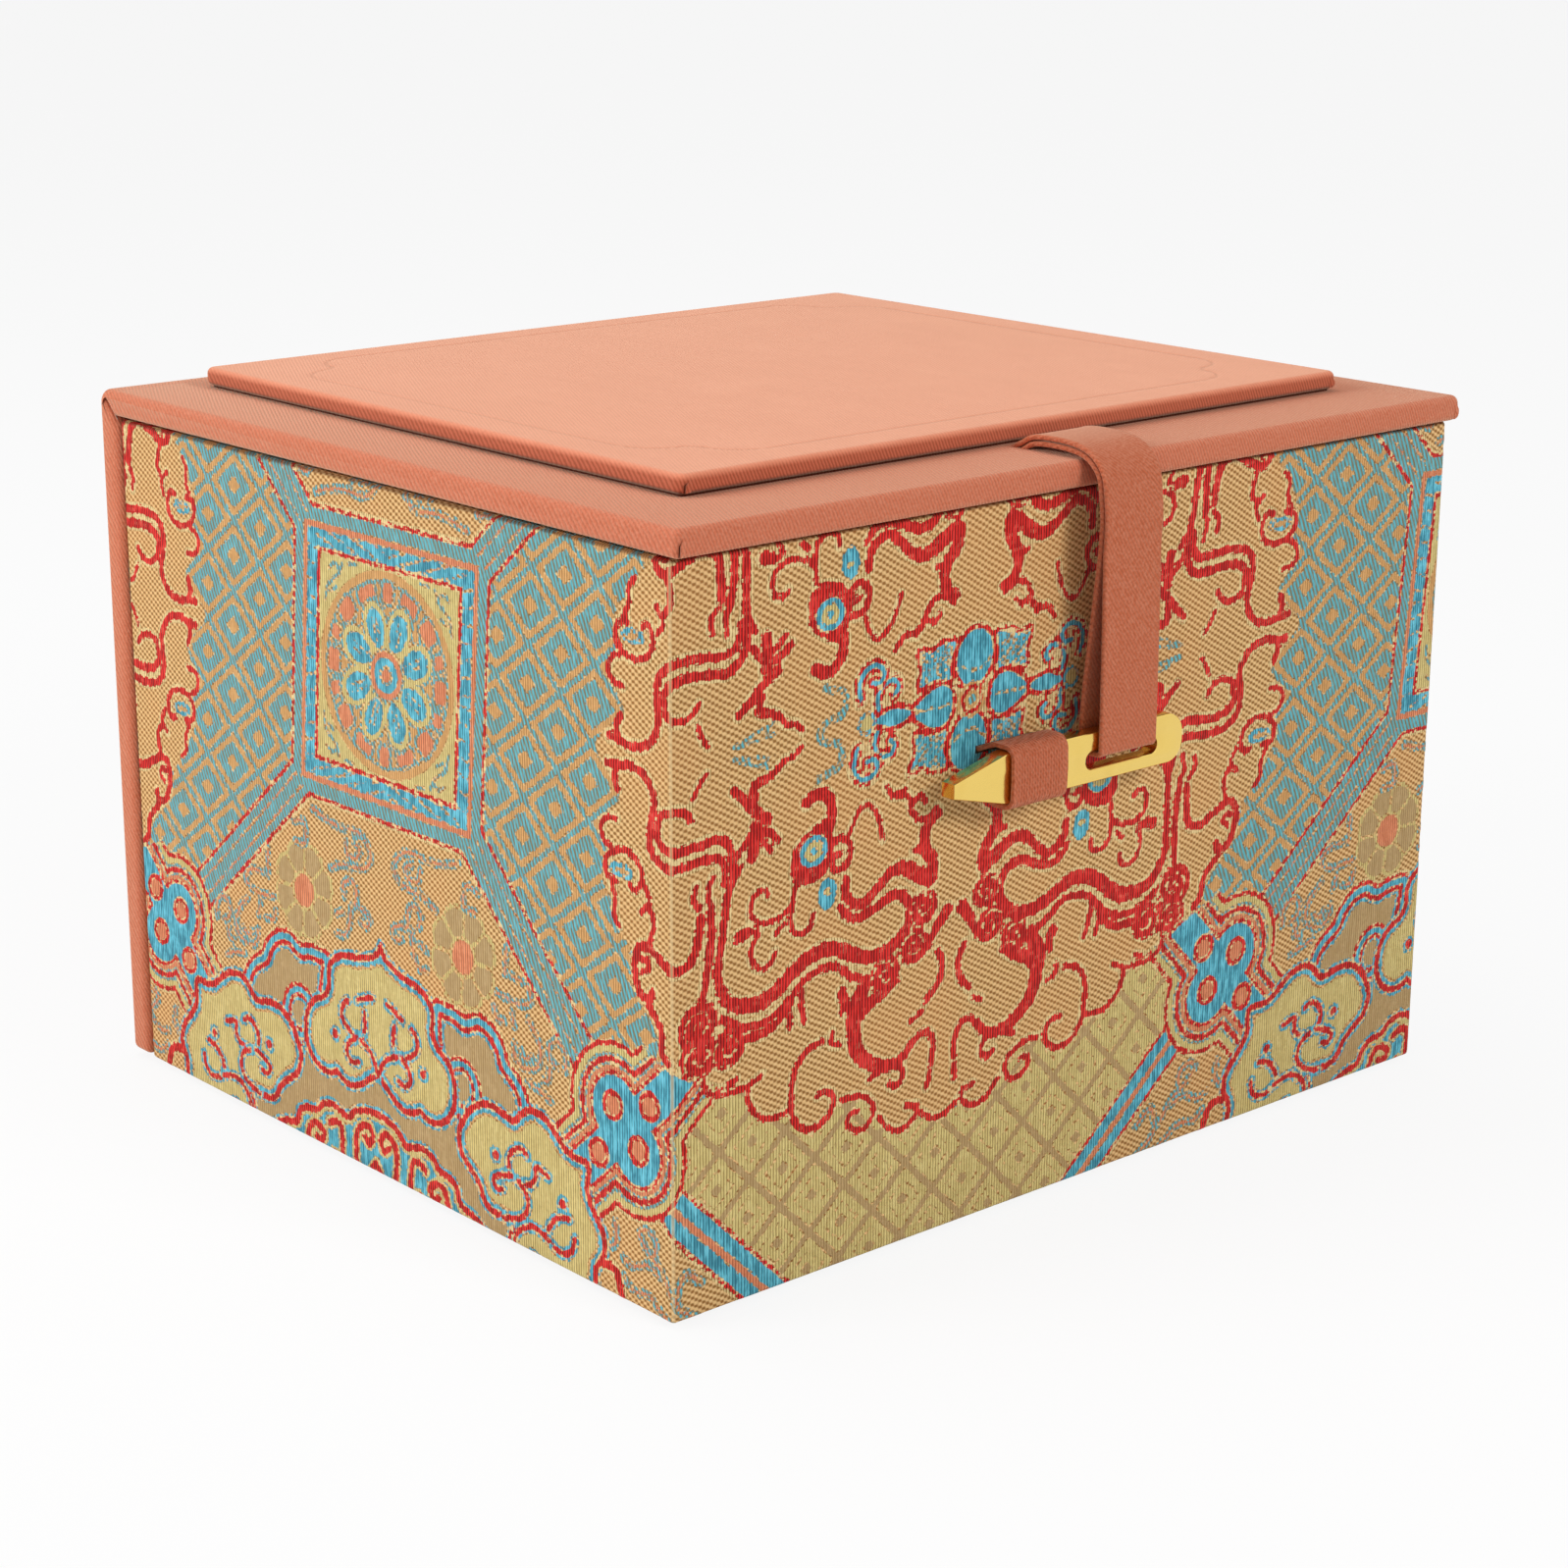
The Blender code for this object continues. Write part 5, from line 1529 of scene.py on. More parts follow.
def corner_fold(name, sharp, way, radius, span, rounds, finish, slot):
    """A fold lip on a vertical corner. sharp is the corner, way points out of it in X and Y."""
    heights = np.linspace(span[0] + FOLD_START, span[0] + FOLD_REACH * (span[1] - span[0]), FOLD_ROWS)
    fade = np.clip(np.linspace(FOLD_FADE, 0, FOLD_ROWS), 0, 1)
    foot = np.clip(1 - (heights - span[0]) / rounds, 0, 1)
    reach = radius - rounds * (1 - np.sqrt(1 - foot ** 2))
    angles = np.radians(np.array(FOLD_ANGLES))
    lift = fade[:, None] * FOLD_LIFT * np.array(FOLD_HEIGHTS) + FOLD_CLEAR
    lean = angles[None, :] + FOLD_LEAN * (1 - fade[:, None])
    out = reach[:, None] + lift
    x = sharp[0] + way[0] * (out * np.cos(lean) - radius)
    y = sharp[1] + way[1] * (out * np.sin(lean) - radius)
    grid = np.stack([x, y, np.broadcast_to(heights[:, None], x.shape)], axis=-1)
    # Painted shade in the slit beside the lip, fading up the fold.
    slit = fade[:, None] * np.array(FOLD_SLIT_SHADE)
    if way[0] * way[1] < 0:
        grid, slit = grid[:, ::-1], slit[:, ::-1]
    piece = grid_piece(name, grid, finish, layers={"pressed_and_shaded": slit, "side": np.ones(slit.shape)})
    settle(piece, "lid", slot)


FOLD_SIDES = (("left", -1, lid_low.x, panel_low.x), ("right", 1, lid_high.x, panel_high.x))
for side, along, lid_x, panel_x in FOLD_SIDES:
    corner_fold("lid_fold_" + side, (lid_x, LID_FRONT), (along, -1), BULLNOSE, (LID_BOTTOM, LID_TOP),
                BULLNOSE, cover_cloth, "salmon_cloth")
    for end, depth, panel_y in (("front", -1, panel_low.y), ("back", 1, panel_high.y)):
        corner_fold(f"panel_fold_{end}_{side}", (panel_x, panel_y), (along, depth), PANEL_CORNER,
                    (panel_low.z, panel_high.z), PANEL_FOOT_ROUND, panel_cloth, "panel_velvet")

# %% [markdown]
# The strap is one tape folded double. It starts in a pocket under the panel, arches over
# the lid's front edge and hangs down to the toggle, where the fold goes round the slot's rim.
# Its middle line is a smooth curve through a few chosen points, in the sizes of the solids.

# %% The strap's middle line
TAPE = 0.6 * MM
LAYER_GAP = 0.3 * MM
STRAP_WIDTH = 11.0 * MM
STRAP_ANCHOR = 8.0 * MM
STRAP_SINK = 1.3 * MM
STRAP_ARCH = 1.6 * MM
STRAP_MOUTH = 5.0 * MM
STRAP_STANDOFF = 4.5 * MM
STRAP_BOW = 8.0 * MM
STRAP_FALL = ((0.39, -0.02), (0.79, 0.22), (0.93, 0.58), (1.0, 1.0), (0.96, 1.5))
REAR_LEAN = ((0.35, 0.38), (0.75, 0.82))
FRONT_LEAN = ((0.5, 0.7),)
TAPE_CLEARANCE = 0.3 * MM
SLOT_DROP = 0.4 * MM
SLOT_HEIGHT = 2.4 * MM
PATH_STEPS = 12
HOOK_STEPS = 8

toggle_low, toggle_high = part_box("toggle")
TOGGLE_FRONT = toggle_low.y
TOGGLE_BACK = toggle_high.y
TOGGLE_CENTRE = (toggle_low.z + toggle_high.z) / 2
SLOT_TOP = TOGGLE_CENTRE - SLOT_DROP + SLOT_HEIGHT / 2
PANEL_FRONT = panel_low.y


def left_of(curve):
    """A step of length 1 to the left of the curve's direction, at each of its points."""
    run = np.gradient(curve, axis=0)
    run /= np.linalg.norm(run, axis=1)[:, None]
    return np.column_stack([-run[:, 1], run[:, 0]])


def beside(curve, distance):
    """The curve moved to the left of its direction."""
    return curve + distance * left_of(curve)


def strap_middle():
    """Middle line of the doubled strap, from under the panel to below the lid."""
    half = TAPE + LAYER_GAP / 2
    sunk = LID_TOP - STRAP_SINK
    crest = LID_TOP + STRAP_ARCH
    reach = STRAP_STANDOFF - half / 2
    mouth = PANEL_FRONT - STRAP_MOUTH
    on_lid = [(PANEL_FRONT + STRAP_ANCHOR, sunk), (PANEL_FRONT + half, sunk),
              (PANEL_FRONT - STRAP_MOUTH / 2, (sunk + crest) / 2), (mouth, crest - half / 3),
              ((mouth + LID_FRONT) / 2, crest), (LID_FRONT + half, crest - half / 2)]
    off_lid = [(LID_FRONT - reach * out, LID_TOP - STRAP_BOW * down) for out, down in STRAP_FALL]
    return smooth(np.array(on_lid + off_lid), steps=PATH_STEPS)


def strap_runs():
    """The outer layer, the inner layer and the hook round the slot's rim, each from the lid down."""
    middle = strap_middle()
    layer = (TAPE + LAYER_GAP) / 2
    over = beside(middle, -layer)
    under = beside(middle, layer)
    reach = TAPE_CLEARANCE + TAPE / 2
    rear = TOGGLE_BACK + reach
    front = TOGGLE_FRONT - reach
    rim = toggle_high.z
    span = under[-1, 1] - rim
    runs = []
    for start, end, lean in ((under[-1], rear, REAR_LEAN), (over[-1], front, FRONT_LEAN)):
        between = [(start[0] + (end - start[0]) * across, start[1] - span * down) for down, across in lean]
        runs.append(smooth(np.array([start, *between, (end, rim)]), steps=PATH_STEPS))
    inner, outer = runs
    under_rim = arc((TOGGLE_BACK, SLOT_TOP), reach, 0, -90, HOOK_STEPS)
    before_rim = arc((TOGGLE_FRONT, SLOT_TOP), reach, -90, -180, HOOK_STEPS)
    hook = np.vstack([under_rim, before_rim])
    return np.vstack([over, outer[1:]]), np.vstack([under, inner[1:]]), hook


outer_run, inner_run, slot_hook = strap_runs()
print("outer layer, mm:", round(lengths_along(outer_run)[-1] / MM, 1))

# %% [markdown]
# A tape is swept along its path from a flat section whose edges are a little thicker and
# round: that is the selvedge. The strap is made as two pieces cut at one height: the upper
# one over the lid, the lower one down to the toggle and round the rim of its slot.

# %% Tapes
SPLIT_HEIGHT = 97.0 * MM
EDGE_BEAD = 0.07 * MM
SIDE_POINTS = 7
FACE_POINTS = 15


def tape_section(width, thickness):
    """Points round a tape's section: X across it, and how far each is from its middle."""
    half = thickness / 2
    bend = np.radians(np.linspace(-90, 90, SIDE_POINTS))
    right = np.column_stack([width / 2 - half + half * np.cos(bend), (half + EDGE_BEAD) * np.sin(bend)])
    top_x = np.linspace(width / 2 - half, -width / 2 + half, FACE_POINTS)[1:-1]
    swell = half + EDGE_BEAD * np.clip(np.abs(top_x) / (width / 2) * 4 - 3, 0, 1)
    left = right[::-1] * [-1, 1]
    return np.vstack([right, np.column_stack([top_x, swell]), left, np.column_stack([-top_x, -swell])])


def tape(name, path, centre_x, width, thickness, finish):
    """A flat tape along a (y, z) path."""
    section = tape_section(width, thickness)
    rows = path[:, None, :] + left_of(path)[:, None, :] * section[None, :, 1:]
    x = np.broadcast_to(centre_x + section[None, :, :1], (*rows.shape[:2], 1))
    wide = np.append(section[:, 0], section[0, 0]) / MM
    flat = np.stack(np.meshgrid(wide, lengths_along(path) / MM), axis=-1)
    return grid_piece(name, np.concatenate([x, rows], axis=2), finish, flat, wrap=True, caps=True)


def split_at(run):
    """The first point of a run below the split."""
    return int((run[:, 1] > SPLIT_HEIGHT).nonzero()[0].max()) + 1


split_outer = split_at(outer_run)
split_inner = split_at(inner_run)
anchor_fold = arc(strap_middle()[0], (TAPE + LAYER_GAP) / 2, 90, -90, 10)
upper_path = np.vstack([outer_run[:split_outer + 1][::-1], anchor_fold[1:-1], inner_run[:split_inner + 1]])
lower_path = np.vstack([inner_run[split_inner:-1], slot_hook, outer_run[split_outer:-1][::-1]])

strap_upper = tape("strap_upper", upper_path, 0.0, STRAP_WIDTH, TAPE, tape_cloth)
strap_lower = tape("strap_lower", lower_path, 0.0, STRAP_WIDTH, TAPE, tape_cloth)
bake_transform(strap_upper)
dress(strap_upper, "strap_tape", "strap_tab", "strap_drop")
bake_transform(strap_lower)
dress(strap_lower, "strap_tape", "strap_drop")

# %% [markdown]
# What repeats along a line is made with Geometry Nodes. A node tree gets lines of points,
# puts its shapes on them, turns the copies into real mesh and gives them their material.

# %% Helpers for node trees
def socket_id(tree, name):
    """Identifier of a named input of a node tree."""
    return next(item.identifier for item in tree.interface.items_tree if item.name == name)


def new_tree(name, numbers, finish):
    """A tree with named number inputs and the lines as curves. It realizes copies and gives a finish."""
    tree = bpy.data.node_groups.new(name, "GeometryNodeTree")
    tree.interface.new_socket("Geometry", in_out="INPUT", socket_type="NodeSocketGeometry")
    for label, value in numbers.items():
        tree.interface.new_socket(label, in_out="INPUT", socket_type="NodeSocketFloat").default_value = value
    tree.interface.new_socket("Geometry", in_out="OUTPUT", socket_type="NodeSocketGeometry")
    start = add_node(tree, "NodeGroupInput")
    line = add_node(tree, "GeometryNodeMeshToCurve", {}, {0: start.outputs["Geometry"]})
    realize = add_node(tree, "GeometryNodeRealizeInstances")
    finishing = {"Geometry": realize.outputs[0], "Material": finish.material}
    finished_mesh = add_node(tree, "GeometryNodeSetMaterial", {}, finishing)
    add_node(tree, "NodeGroupOutput", {}, {0: finished_mesh.outputs[0]})
    return tree, start, line, realize


def grown(name, tree, lines, numbers, finish):
    """Run a node tree on lines of as many points each, and keep the result as a plain mesh."""
    mesh = bpy.data.meshes.new(name + "_lines")
    index = np.arange(lines.size // 3).reshape(lines.shape[:2])
    edges = np.stack([index[:, :-1], index[:, 1:]], axis=-1).reshape(-1, 2)
    mesh.from_pydata(lines.reshape(-1, 3).tolist(), edges.tolist(), [])
    guide = in_scene(name + "_lines", mesh)
    modifier = guide.modifiers.new("grow", "NODES")
    modifier.node_group = tree
    for label, value in numbers.items():
        modifier[socket_id(tree, label)] = value
    grown_mesh = evaluated_mesh(guide)
    bpy.data.objects.remove(guide, do_unlink=True)
    grown_mesh.polygons.foreach_set("material_index", np.zeros(len(grown_mesh.polygons), np.int32))
    return finished(name, grown_mesh, finish, sharp=180, smooth=False)


print("node tree helpers ready")

# %% [markdown]
# Along both edges of the tape the weft turns back and leaves a row of tiny bumps. The tree
# samples each edge line at an even pitch and puts a small oval, turned to follow it, there.

# %% Selvedge bumps of the strap
BUMP_SIZES = {"Pitch": 0.9 * MM, "Bump": 0.15 * MM, "Stretch": 1.9}
EDGE_INSET = 0.05 * MM


def bump_tree(finish):
    """Small ovals along a line of mesh edges."""
    tree, start, line, realize = new_tree("selvedge_bumps", BUMP_SIZES, finish)
    pitch = {"Curve": line.outputs[0], "Length": start.outputs["Pitch"]}
    even = add_node(tree, "GeometryNodeResampleCurve", {"mode": "LENGTH"}, pitch)
    points = add_node(tree, "GeometryNodeCurveToPoints", {"mode": "EVALUATED"}, {0: even.outputs[0]})
    ball = {"Radius": start.outputs["Bump"], "Subdivisions": 1}
    oval = add_node(tree, "GeometryNodeMeshIcoSphere", {}, ball)
    smooth_oval = add_node(tree, "GeometryNodeSetShadeSmooth", {}, {0: oval.outputs[0]})
    scale = add_node(tree, "ShaderNodeCombineXYZ", {}, {0: 1.0, 1: 1.0, 2: start.outputs["Stretch"]})
    places = {"Points": points.outputs["Points"], "Rotation": points.outputs["Rotation"],
              "Instance": smooth_oval.outputs[0], "Scale": scale.outputs[0]}
    placed = add_node(tree, "GeometryNodeInstanceOnPoints", {}, places)
    tree.links.new(placed.outputs[0], realize.inputs[0])
    return tree


def edge_lines(path):
    """The two edges of the strap as lines of points."""
    edge = STRAP_WIDTH / 2 - EDGE_INSET
    return along_x((-edge, edge), (path, path))


bumps = bump_tree(tape_cloth)
upper_bumps = grown("strap_upper_selvedge", bumps, edge_lines(upper_path), BUMP_SIZES, tape_cloth)
lower_bumps = grown("strap_lower_selvedge", bumps, edge_lines(lower_path), BUMP_SIZES, tape_cloth)
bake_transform(upper_bumps)
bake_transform(lower_bumps)
dress(upper_bumps, "strap_tape")
dress(lower_bumps, "strap_tape")

# %% [markdown]
# The loop is a narrower tape that goes over the toggle and back into the wall through two
# slits. Only its upper half is worked out, and the lower half mirrors it.

# %% Loop for the toggle
LOOP_CORNER = 1.5 * MM
LOOP_TAPE = 0.55 * MM
LOOP_BULGE = 0.08 * MM
LOOP_SWELL = 0.45
loop_front = loop_low.y + TAPE / 2
behind_bar = TOGGLE_BACK + TAPE_CLEARANCE
half_loop = (loop_high.z - loop_low.z - TAPE) / 2
loop_corner = arc((loop_front + LOOP_CORNER, half_loop - LOOP_CORNER), LOOP_CORNER, 90, 180, 10)
slit_up = half_loop - LOOP_DRAW_IN * MM
swell_up = half_loop - LOOP_SWELL * LOOP_DRAW_IN * MM
way_out = [(loop_high.y, slit_up), (-HALF_DEPTH, slit_up), ((behind_bar - HALF_DEPTH) / 2, swell_up),
           (behind_bar, half_loop)]
upper_half = np.vstack([way_out, loop_corner, [(loop_front - LOOP_BULGE, 0)]])
loop_path = np.vstack([upper_half, upper_half[-2::-1] * [1, -1]]) + [0, TOGGLE_CENTRE]
loop_middle = (loop_low.x + loop_high.x) / 2
loop_width = loop_high.x - loop_low.x
loop_tape = tape("toggle_tape_loop", loop_path, loop_middle, loop_width, LOOP_TAPE, tape_cloth)
settle(loop_tape, "box", "strap_tape", "toggle_loop")

# %% [markdown]
# Fine ribs run along the loop. The tree copies its path across its width and gives each copy
# a round section.

# %% Ribs of the loop
RIB_SPACING = 0.5 * MM
RIB_RADIUS = 0.13 * MM
RIB_SINK = 0.03 * MM
RIB_SIDES = 6
rib_count = int((loop_width - 2 * RIB_RADIUS) / RIB_SPACING) + 1
RIB_SIZES = {"Spacing": RIB_SPACING, "Count": float(rib_count), "Radius": RIB_RADIUS}


def rib_tree(finish):
    """Copies of a line side by side, each given a round section."""
    tree, start, line, realize = new_tree("loop_ribs", RIB_SIZES, finish)
    count = add_node(tree, "FunctionNodeFloatToInt", {}, {0: start.outputs["Count"]})
    offset = add_node(tree, "ShaderNodeCombineXYZ", {}, {0: start.outputs["Spacing"]})
    spaced = {"Count": count.outputs[0], "Offset": offset.outputs[0]}
    row = add_node(tree, "GeometryNodeMeshLine", {"mode": "OFFSET"}, spaced)
    placed = {"Points": row.outputs[0], "Instance": line.outputs[0]}
    copies = add_node(tree, "GeometryNodeInstanceOnPoints", {}, placed)
    real = add_node(tree, "GeometryNodeRealizeInstances", {}, {0: copies.outputs[0]})
    ring = {"Resolution": RIB_SIDES, "Radius": start.outputs["Radius"]}
    circle = add_node(tree, "GeometryNodeCurvePrimitiveCircle", {}, ring)
    sweep = {"Curve": real.outputs[0], "Profile Curve": circle.outputs[0], "Fill Caps": True}
    swept = add_node(tree, "GeometryNodeCurveToMesh", {}, sweep)
    smooth_rib = add_node(tree, "GeometryNodeSetShadeSmooth", {}, {0: swept.outputs[0]})
    tree.links.new(smooth_rib.outputs[0], realize.inputs[0])
    return tree


rib_start = loop_middle - (rib_count - 1) * RIB_SPACING / 2
rib_path = beside(loop_path, -LOOP_TAPE / 2 + RIB_SINK)[1:-1]
rib_lines = along_x([rib_start], [rib_path])
loop_ribs = grown("toggle_loop_ribs", rib_tree(tape_cloth), rib_lines, RIB_SIZES, tape_cloth)
settle(loop_ribs, "box", "strap_tape")

# %% [markdown]
# The toggle is a flat brass bar, polished on its face. The finish is a mirror with very fine
# scratches along the bar and a little tarnish.

# %% Brass finish
brass = Finish("polished_brass", Metallic=1.0, Roughness=0.16)
brass_place = brass.place()
brushing = brass.noise(brass.stretched(brass_place, 60, 800, 2600), 1.0, 2.0)
tarnish = brass.noise(brass_place, 220, 3.0)
brass_shade = brass.mix(tarnish.step(0.45, 0.75) * 0.25, colour(236, 203, 112), colour(222, 182, 84))
brass.bump(brushing, 0.004 * MM, 0.5)
brass.set(Base_Color=brass_shade, Roughness=0.13 + tarnish * 0.12)
print("brass nodes:", len(brass.tree.nodes))

# %% [markdown]
# The bar has a tapered tip, a round end and a slot for the strap. A filled 2D curve gives its
# outline, and a bevel breaks the edges, which catch a bright line of light. The curve lies
# flat, its points are merged, because its caps are loose, and it is turned upright.

# %% Toggle
TOGGLE_TAPER = 9.8 * MM
TIP_HALF = 1.0 * MM
END_ROUND = 3.0 * MM
SLOT_LENGTH = 14.2 * MM
SLOT_END_WALL = 5.1 * MM
TOGGLE_BEVEL = 0.28 * MM
ROUND_STEPS = 16
MERGE_DISTANCE = 0.002 * MM
FACE_SLOPE = 0.999
SHARP_EDGE = 28


half = (toggle_high.z - toggle_low.z) / 2
right = toggle_high.x - END_ROUND
taper = toggle_low.x + TOGGLE_TAPER
bar = np.vstack([[(toggle_low.x, TIP_HALF), (toggle_low.x, -TIP_HALF), (taper, -half)],
                 arc((right, END_ROUND - half), END_ROUND, -90, 0, ROUND_STEPS),
                 arc((right, half - END_ROUND), END_ROUND, 0, 90, ROUND_STEPS), [(taper, half)]])
slot_right = toggle_high.x - SLOT_END_WALL - SLOT_HEIGHT / 2
slot_left = slot_right - SLOT_LENGTH + SLOT_HEIGHT
slot = np.vstack([arc((slot_right, -SLOT_DROP), SLOT_HEIGHT / 2, -90, 90, ROUND_STEPS),
                  arc((slot_left, -SLOT_DROP), SLOT_HEIGHT / 2, 90, 270, ROUND_STEPS)])

curve = bpy.data.curves.new("toggle_outline", "CURVE")
curve.dimensions = "2D"
curve.fill_mode = "BOTH"
curve.extrude = (TOGGLE_BACK - TOGGLE_FRONT) / 2 - TOGGLE_BEVEL
curve.bevel_depth = TOGGLE_BEVEL
curve.bevel_resolution = 2
curve.offset = -TOGGLE_BEVEL
for outline_points in (bar, slot):
    spline = curve.splines.new("POLY")
    spline.points.add(len(outline_points) - 1)
    for point, (x, z) in zip(spline.points, outline_points):
        point.co = (x, z, 0.0, 1.0)
    spline.use_cyclic_u = True
flat_bar = in_scene("toggle_outline", curve)
bar_mesh = evaluated_mesh(flat_bar)
bpy.data.objects.remove(flat_bar, do_unlink=True)
form = bmesh.new()
form.from_mesh(bar_mesh)
bmesh.ops.remove_doubles(form, verts=form.verts, dist=MERGE_DISTANCE)
bmesh.ops.recalc_face_normals(form, faces=form.faces)
for face in form.faces:
    face.smooth = abs(face.normal.z) < FACE_SLOPE
form.to_mesh(bar_mesh)
form.free()
upright = Matrix.Rotation(math.radians(90), 4, "X")
in_place = Matrix.Translation((0, (TOGGLE_FRONT + TOGGLE_BACK) / 2, TOGGLE_CENTRE))
bar_mesh.transform(in_place @ upright)
toggle_bar = finished("brass_toggle", bar_mesh, brass, sharp=SHARP_EDGE, smooth=False)
settle(toggle_bar, "toggle", "toggle_brass", "toggle")

# %% [markdown]
# The inside is lined as such boxes are: velvet over card on the four walls. Each card is a
# board with small round edges, made like the lid, in the size of its solid.

# %% Velvet on the walls
LINING_ROUND = 0.6 * MM


def lining_outline(low, high, inset):
    """Outline in Y and Z of a lined card's end, its corners rounded."""
    round_by = max(LINING_ROUND - inset, TINY_ROUND)
    edge = inset + round_by
    near, far, foot, top = low.y + edge, high.y - edge, low.z + edge, high.z - edge
    corners = (((far, top), 0), ((near, top), 90), ((near, foot), 180), ((far, foot), 270))
    return np.vstack([arc(centre, round_by, first, first + 90) for centre, first in corners])


for side in ("front", "back", "left", "right"):
    node = "lining_" + side
    low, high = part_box(node)
    piece = rounded_board("velvet_" + side, lambda inset: lining_outline(low, high, inset), (low.x, high.x),
                          LINING_ROUND, lining_velvet)
    settle(piece, "box", "lining_velvet", node)

# %% [markdown]
# A cushion is flat where it is glued and swells above. Here a flat block is blown up as
# cloth: its base is held, pressure lifts the rest for twenty frames, and every move is then
# scaled so that the crown just fills the space of the solid. A subdivision smooths it.

# %% Cushions
PAD_MARGIN = 0.4 * MM
PAD_VOXEL = 2.0 * MM
PAD_PRESSURE = 4.0
PAD_STIFFNESS = 0.5
PAD_FRAMES = 20
FLOOR_CROWN = 3.0 * MM
LID_CROWN = 1.2 * MM


def point_places(mesh):
    """The mesh's points as rows of X, Y and Z."""
    places = np.empty(len(mesh.vertices) * 3, np.float32)
    mesh.vertices.foreach_get("co", places)
    return places.reshape(-1, 3)


def even_block(name, size, height):
    """A block on the floor with evenly spaced points, by a voxel remesh."""
    mesh = bpy.data.meshes.new(name)
    form = bmesh.new()
    stretch = Matrix.Diagonal((size[0], size[1], height, 1))
    bmesh.ops.create_cube(form, size=1.0, matrix=Matrix.Translation((0, 0, height / 2)) @ stretch)
    form.to_mesh(mesh)
    form.free()
    block = in_scene(name, mesh)
    remesh = block.modifiers.new("even", "REMESH")
    remesh.mode = "VOXEL"
    remesh.voxel_size = PAD_VOXEL
    block.data = evaluated_mesh(block)
    block.modifiers.clear()
    return block


def blown_up(block):
    """Where the block's points end when its held base stays and pressure lifts the rest."""
    start = point_places(block.data)
    held = block.vertex_groups.new(name="held")
    base = start[:, 2] < start[:, 2].min() + PAD_VOXEL / 4
    held.add(np.nonzero(base)[0].tolist(), 1.0, "REPLACE")
    settings = block.modifiers.new("cloth", "CLOTH").settings
    settings.use_pressure = True
    settings.uniform_pressure_force = PAD_PRESSURE
    settings.effector_weights.gravity = 0.0
    settings.vertex_group_mass = held.name
    settings.bending_stiffness = PAD_STIFFNESS
    for number in range(1, PAD_FRAMES + 1):
        bpy.context.scene.frame_set(number)
    end = point_places(evaluated_mesh(block))
    bpy.context.scene.frame_set(1)
    block.modifiers.clear()
    block.vertex_groups.clear()
    return start, end


def cushion_piece(name, node, crown, up):
    """A velvet pad inside the space of its solid. up is the way its crown faces, 1 or -1."""
    low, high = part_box(node)
    size = (high.x - low.x - 2 * PAD_MARGIN, high.y - low.y - 2 * PAD_MARGIN)
    pad = even_block(name, size, high.z - low.z - crown)
    start, end = blown_up(pad)
    move = end - start
    move *= crown / (end[:, 2].max() - start[:, 2].max())
    move[:, :2] = np.clip(move[:, :2], -PAD_MARGIN, PAD_MARGIN)
    places = start + move
    places[:, 2] *= up
    places += [(low.x + high.x) / 2, (low.y + high.y) / 2, low.z if up > 0 else high.z]
    pad.data.vertices.foreach_set("co", places.astype(np.float32).ravel())
    if up < 0:
        pad.data.flip_normals()
    finer = pad.modifiers.new("finer", "SUBSURF")
    finer.levels = 1
    finer.render_levels = 1
    mesh = evaluated_mesh(pad)
    bpy.data.objects.remove(pad, do_unlink=True)
    piece = finished(name, mesh, cushion_velvet)
    stands = np.ptp(point_places(mesh)[:, 2]) / MM
    print(name, "stands, mm:", round(float(stands), 2), "of", round((high.z - low.z) / MM, 2))
    return piece


floor_pad = cushion_piece("velvet_floor_cushion", "floor_cushion", FLOOR_CROWN, 1)
settle(floor_pad, "box", "cushion_velvet", "floor_cushion")
lid_pad = cushion_piece("velvet_lid_pad", "lid_pad", LID_CROWN, -1)
settle(lid_pad, "lid", "cushion_velvet", "lid_pad")

# %% [markdown]
# Greyboard is pressed waste paper: a slow noise gives its pulp and a fast one its dark
# specks. The sheet under the box is a plain dark paper with a fine grain.

# %% Greyboard and base paper
greyboard = Finish("pressed_board", Roughness=0.95)
board_place = greyboard.place()
specks = greyboard.noise(board_place, 1800, 2.0)
pulp = greyboard.noise(board_place, 120, 4.0)
board_shade = greyboard.mix(pulp.step(0.3, 0.7), colour(158, 150, 136), colour(176, 168, 152))
board_shade = greyboard.mix(specks.step(0.6, 0.75) * 0.5, board_shade, colour(120, 112, 100))
greyboard.bump(specks, 0.05 * MM, 0.6)
greyboard.set(Base_Color=board_shade)

paper = Finish("foot_paper", Roughness=0.85)
paper_place = paper.place()
grain = paper.noise(paper_place, 1500, 3.0)
paper.bump(grain, 0.03 * MM, 0.6)
paper.set(Base_Color=paper.mix(grain.step(0.35, 0.7), colour(140, 92, 70), colour(156, 104, 80)))
print("board nodes:", len(greyboard.tree.nodes), "paper nodes:", len(paper.tree.nodes))

# %% [markdown]
# The boards have the right shape in the solid model, so they stay, with their shapes and
# slots, and only get a finish. The two cards under the pads wear the velvet of the walls.

# %% Solids that stay
BOARD_NODES = ("base_board", "wall_front", "wall_back", "wall_left", "wall_right", "spine_board",
               "lid_board", "panel_board")


STAYING = {greyboard: BOARD_NODES, lining_velvet: ("floor_card", "lid_lining_card"), paper: ("base_sheet",)}
for finish, nodes in STAYING.items():
    for node in nodes:
        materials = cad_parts[node].data.materials
        materials.clear()
        materials.append(finish.material)
print("solids that stay:", sum(len(nodes) for nodes in STAYING.values()))

# %% [markdown]
# The floor is white: to the camera it is mostly a white glow, with enough real surface mixed
# in to keep a soft shadow under the box. Polished metal sees the same white.

